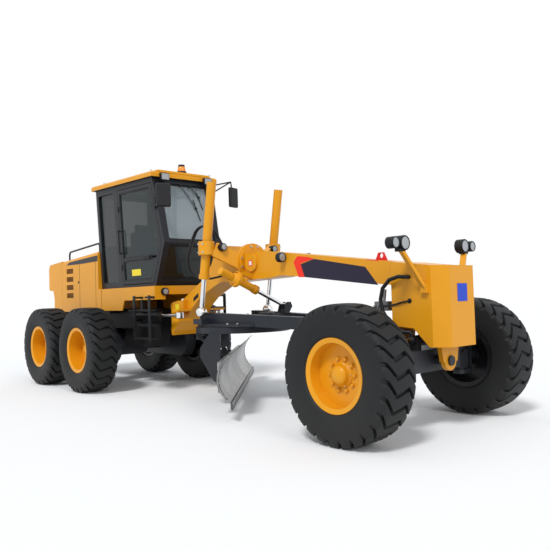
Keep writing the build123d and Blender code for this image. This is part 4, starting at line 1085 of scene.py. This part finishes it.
# %% Hose bundle
BUNDLE = (
    (3.430, -0.400, 2.120), (3.300, -0.420, 2.330), (3.100, -0.430, 2.420), (2.920, -0.445, 2.370),
    (2.880, -0.484, 2.230), (2.880, -0.560, 2.020), (2.890, -0.585, 1.876), (2.930, -0.540, 1.730),
    (3.060, -0.420, 1.660), (3.220, -0.320, 1.690), (3.400, -0.260, 1.730), (3.540, -0.225, 1.740))
OFFSETS = ((0.0, 0.0), (0.024, 0.006), (0.012, -0.020))
for number, (dx, dy) in enumerate(OFFSETS, 1):
    hose("saddle_hose_%d" % number, [spot(x + dx, y + dy, z) for x, y, z in BUNDLE], 0.011, FRONT)
print(len(OFFSETS), "hoses in the bundle")

# %% [markdown]
# The saddle turns on a bolted ring, and four bolts clamp each lift cylinder's collar. The
# saddle's arms cover part of the ring, so a ray decides where a bolt finds metal.

# %% Saddle ring and collar bolts
SADDLE_Z, RING_R, COLLAR_X, COLLAR_Z = 1.870, 0.225, 3.355, 2.070
ring = bmesh.new()
starts = [(RING_R * c, SADDLE_Z + RING_R * s) for c, s in around(12, 0.5)]
starts = [spot(3.90, y, z) for y, z in starts if not (abs(y) < 0.185 and abs(z - SADDLE_Z) < 0.19)]
print(seat_bolts(ring, "lift_saddle", starts, (-1, 0, 0), 0.013, 0.014), "bolts on the ring")
piece("saddle_ring_bolts", ring, zinc, FRONT)
for hand, side in SIDES:
    strap = bmesh.new()
    starts = [spot(COLLAR_X + dx, side, COLLAR_Z + dz) for dx in (-0.05, 0.05) for dz in (-0.055, 0.055)]
    print(seat_bolts(strap, "lift_saddle", starts, (0, -side, 0), 0.011, 0.012), "bolts on a collar")
    piece("collar_bolts_" + hand, strap, zinc, FRONT)

# %% [markdown]
# A small white label with a red edge sits on the boss, bare of any writing: two thin boxes.

# %% Saddle label
LABEL_SHEET = 0.0008
boss, _ = touch("lift_saddle", spot(3.790, -1.0, 1.850), (0, 1, 0))
LABELS = ("boss_label_edge", 0.038, 0.0008, red_decal), ("boss_label", 0.027, 0.0018, white_decal)
for name, half, lift, material in LABELS:
    label = bmesh.new()
    add_box(label, boss + Vector((-half, -lift - LABEL_SHEET, -half)), boss + Vector((half, -lift, half)))
    piece(name, label, material, FRONT)
print("label at", [round(v, 3) for v in boss])

# %% [markdown]
# Under the beam's front, a cast valve block with screwed ports feeds steering and lean. Only the
# ports' rhythm is seen, so it is a box with round bars, and its hose enters at a grommet.

# %% Valve block and feed hose
PORTS, PORT_PITCH, PORT_Z = 4, 0.042, 1.265
GROMMET = [(0, 0), (0, 0.026), (0.004, 0.026), (0.006, 0.016), (0.006, 0)]
valve = bmesh.new()
add_box(valve, spot(5.880, -0.230, 1.215), spot(6.060, -0.120, 1.315))
for i in range(PORTS):
    x = 5.905 + PORT_PITCH * i
    add_rod(valve, spot(x, -0.228, PORT_Z), spot(x, -0.262, PORT_Z), 0.014, 14)
add_rod(valve, spot(6.050, -0.175, PORT_Z), spot(6.162, -0.175, PORT_Z), 0.026, 20)
add_rod(valve, spot(5.970, -0.175, 1.310), spot(5.970, -0.150, 1.440), 0.016, 16)
piece("valve_block", valve, cast_grey, FRONT, 0.004)
place, out = touch("beam_head", spot(6.383, -1.0, 1.316), (0, 1, 0))
turned("feed_grommet", place - out * SUNK, out, GROMMET, moulded_black, FRONT, 24)
feed = [place + Vector((0, -0.004, 0)), place + Vector((-0.06, -0.020, -0.006))]
feed += [spot(*p) for p in ((6.180, -0.300, 1.275), (6.060, -0.285, 1.266), (6.031, -0.262, PORT_Z))]
hose("feed_hose", feed, 0.009, FRONT)
print(PORTS, "ports on the valve block")

# %% [markdown]
# ## Blade
# The cutting edge and the end bits are bolted to the moldboard, and all bolts ride on it, because
# it shifts sideways. The blade stands askew, so places are given along it and ahead of it.

# %% Cutting edge bolts
BLADE_YAW = math.radians(-43.5)
ALONG = Vector((math.cos(BLADE_YAW), math.sin(BLADE_YAW), 0))
AHEAD = Vector((-math.sin(BLADE_YAW), math.cos(BLADE_YAW), 0))
CIRCLE_AT = spot(3.350, 0, 0)
BLADE_HALF, BLADE_SHIFT = 1.795, -0.086
BLADE_LEFT, BLADE_RIGHT = BLADE_SHIFT - BLADE_HALF, BLADE_SHIFT + BLADE_HALF
EDGE_BOLTS, END_BOLTS, RAY_FROM = 23, 6, 2.0


def blade_point(along, ahead, height):
    """A point in front of the blade: along it, ahead of it and above the ground."""
    return CIRCLE_AT + ALONG * along + AHEAD * ahead + Vector((0, 0, height))


def add_studs(mesh, node, starts, radius, height):
    """Low round bolt heads, seated on the blade from in front."""
    dome = [(0, 0), (0, radius), (height * 0.6, radius * 0.9), (height, radius * 0.5), (height, 0)]
    for start in starts:
        place, out = touch(node, start, -AHEAD)
        add_turned(mesh, place - out * SUNK, out, dome, 14)


first, last = BLADE_LEFT + 0.06, BLADE_RIGHT - 0.06
places = [first + (last - first) * i / (EDGE_BOLTS - 1) for i in range(EDGE_BOLTS)]
studs, ends = bmesh.new(), bmesh.new()
add_studs(studs, "cutting_edge", [blade_point(u, RAY_FROM, 0.222) for u in places], 0.013, 0.007)
piece("edge_bolts", studs, zinc, "moldboard")
for u in (BLADE_LEFT + 0.035, BLADE_RIGHT - 0.035):
    starts = [blade_point(u, RAY_FROM, 0.30 + 0.075 * i) for i in range(END_BOLTS)]
    add_studs(ends, "moldboard", starts, 0.011, 0.0095)
piece("end_bit_bolts", ends, zinc, "moldboard")
print(EDGE_BOLTS, "edge bolts and", 2 * END_BOLTS, "end bit bolts")

# %% [markdown]
# Dark end bits follow the moldboard's hollow curve. Rays on its front give their outline, so that
# they fit the curve.

# %% End bits
BIT_HEIGHTS = [0.262 + 0.047 * i for i in range(11)]
BIT_PROUD, BIT_DEPTH, BIT_WIDTH, BIT_INSET = 0.0030, 0.027, 0.045, 0.0020


def end_bit(name, along, width):
    """A dark plate that wraps the moldboard's end, from curve points found by rays."""
    starts = [blade_point(along, RAY_FROM, z) for z in BIT_HEIGHTS]
    front = [touch("moldboard", start, -AHEAD)[0] + AHEAD * BIT_PROUD for start in starts]
    back = [place - AHEAD * BIT_DEPTH for place in front]
    mesh = bmesh.new()
    add_plate(mesh, front + back[::-1], ALONG * width)
    return piece(name, mesh, slate_paint, "moldboard", 0.002)


end_bit("end_bit_near", BLADE_RIGHT - BIT_INSET, -BIT_WIDTH)
end_bit("end_bit_far", BLADE_LEFT + BIT_INSET, BIT_WIDTH)
print("end bits", round(BIT_HEIGHTS[-1] - BIT_HEIGHTS[0], 3), "m high")

# %% [markdown]
# ## Circle and drawbar
# The circle is turned by a pinion that runs in teeth on its inside: a ring of short blocks.

# %% Circle teeth
TEETH, TOOTH_R, TOOTH_LONG, TOOTH_Z = 64, 0.560, 0.014, 0.950
teeth = bmesh.new()
for c, s in around(TEETH):
    out, turn = Vector((c, s, 0)), Vector((-s, c, 0))
    foot = [CIRCLE_AT + out * (TOOTH_R + SUNK) + turn * w + UP * TOOTH_Z for w in (-0.016, 0.016)]
    tip = [CIRCLE_AT + out * (TOOTH_R - TOOTH_LONG) + turn * w + UP * TOOTH_Z for w in (0.008, -0.008)]
    add_plate(teeth, foot + tip, (0, 0, 0.060))
piece("circle_teeth", teeth, edge_steel, "circle")
print(TEETH, "teeth on the circle")

# %% [markdown]
# The drawbar's bolts are seated from above with rays; none stands where the centre shift rod
# passes at its lowest.

# %% Drawbar bolts
BOLT_CIRCLE, BOLTS_A_SIDE = 0.605, 12
bar_bolts, starts = bmesh.new(), []
for i in range(BOLTS_A_SIDE):
    for _, side in SIDES:
        angle = side * math.radians(20 + 140 * i / (BOLTS_A_SIDE - 1))
        start = CIRCLE_AT + Vector((BOLT_CIRCLE * math.cos(angle), BOLT_CIRCLE * math.sin(angle), 1.6))
        if start.y <= 0.2 or start.x <= CIRCLE_AT.x - 0.1:
            starts.append(start)
print(seat_bolts(bar_bolts, "drawbar", starts, -UP, 0.014, 0.014), "bolts on the drawbar")
piece("drawbar_bolts", bar_bolts, zinc, "drawbar")

# %% [markdown]
# ## Backdrop
# A white world and a pale floor show the machine as in a catalogue. The lamps stay soft and low,
# so that each colour renders about as it is written.

# %% World, lamps and floor
WHITE, SKY, SKY_STRENGTH = (1, 1, 1, 1), (0.90, 0.95, 1.0, 1), 0.60
FLOOR_R, FLOOR_GREY = 60, (0.93, 0.93, 0.93, 1)


def backdrop_world():
    """White for the eye, mirrors and glass; a softer sky for lighting the machine."""
    world = bpy.data.worlds.new("soft_sky")
    bpy.context.scene.world = world
    world.use_nodes = True
    tree = world.node_tree
    tree.nodes.clear()
    rays = add(tree, "LightPath").outputs
    seen = calc(tree, "MAXIMUM", rays["Is Camera Ray"], rays["Is Transmission Ray"])
    seen = calc(tree, "MAXIMUM", seen, rays["Is Glossy Ray"])
    sky = add(tree, "Background", {"Color": SKY, "Strength": SKY_STRENGTH}).outputs["Background"]
    white = add(tree, "Background", {"Color": WHITE, "Strength": 1.0}).outputs["Background"]
    mix = add(tree, "MixShader", {0: seen, 1: sky, 2: white})
    add(tree, "OutputWorld", {"Surface": mix.outputs["Shader"]})


def sun(name, toward, strength, softness):
    """A soft distant lamp that shines towards a direction."""
    data = bpy.data.lights.new(name, "SUN")
    data.energy, data.angle = strength, math.radians(softness)
    link(name, data).rotation_euler = Vector(toward).to_track_quat("-Z", "Y").to_euler()


def floor():
    """A large pale disc with its own finish, which keeps the machine's shadow."""
    mesh = bmesh.new()
    bmesh.ops.create_circle(mesh, cap_ends=True, segments=96, radius=FLOOR_R)
    data = bpy.data.meshes.new("floor")
    mesh.to_mesh(data)
    mesh.free()
    material, tree, shader = new_material("floor_white")
    plug(tree, shader, {"Base Color": FLOOR_GREY, "Roughness": 0.9, "Specular IOR Level": 0.1})
    data.materials.append(material)
    link("floor", data)


backdrop_world()
sun("key_lamp", (-0.35, 0.75, -0.95), 1.9, 12)
sun("fill_lamp", (-0.95, 0.15, -0.45), 0.55, 30)
floor()
print(len(bpy.data.lights), "lamps and a floor of", FLOOR_R, "m radius")
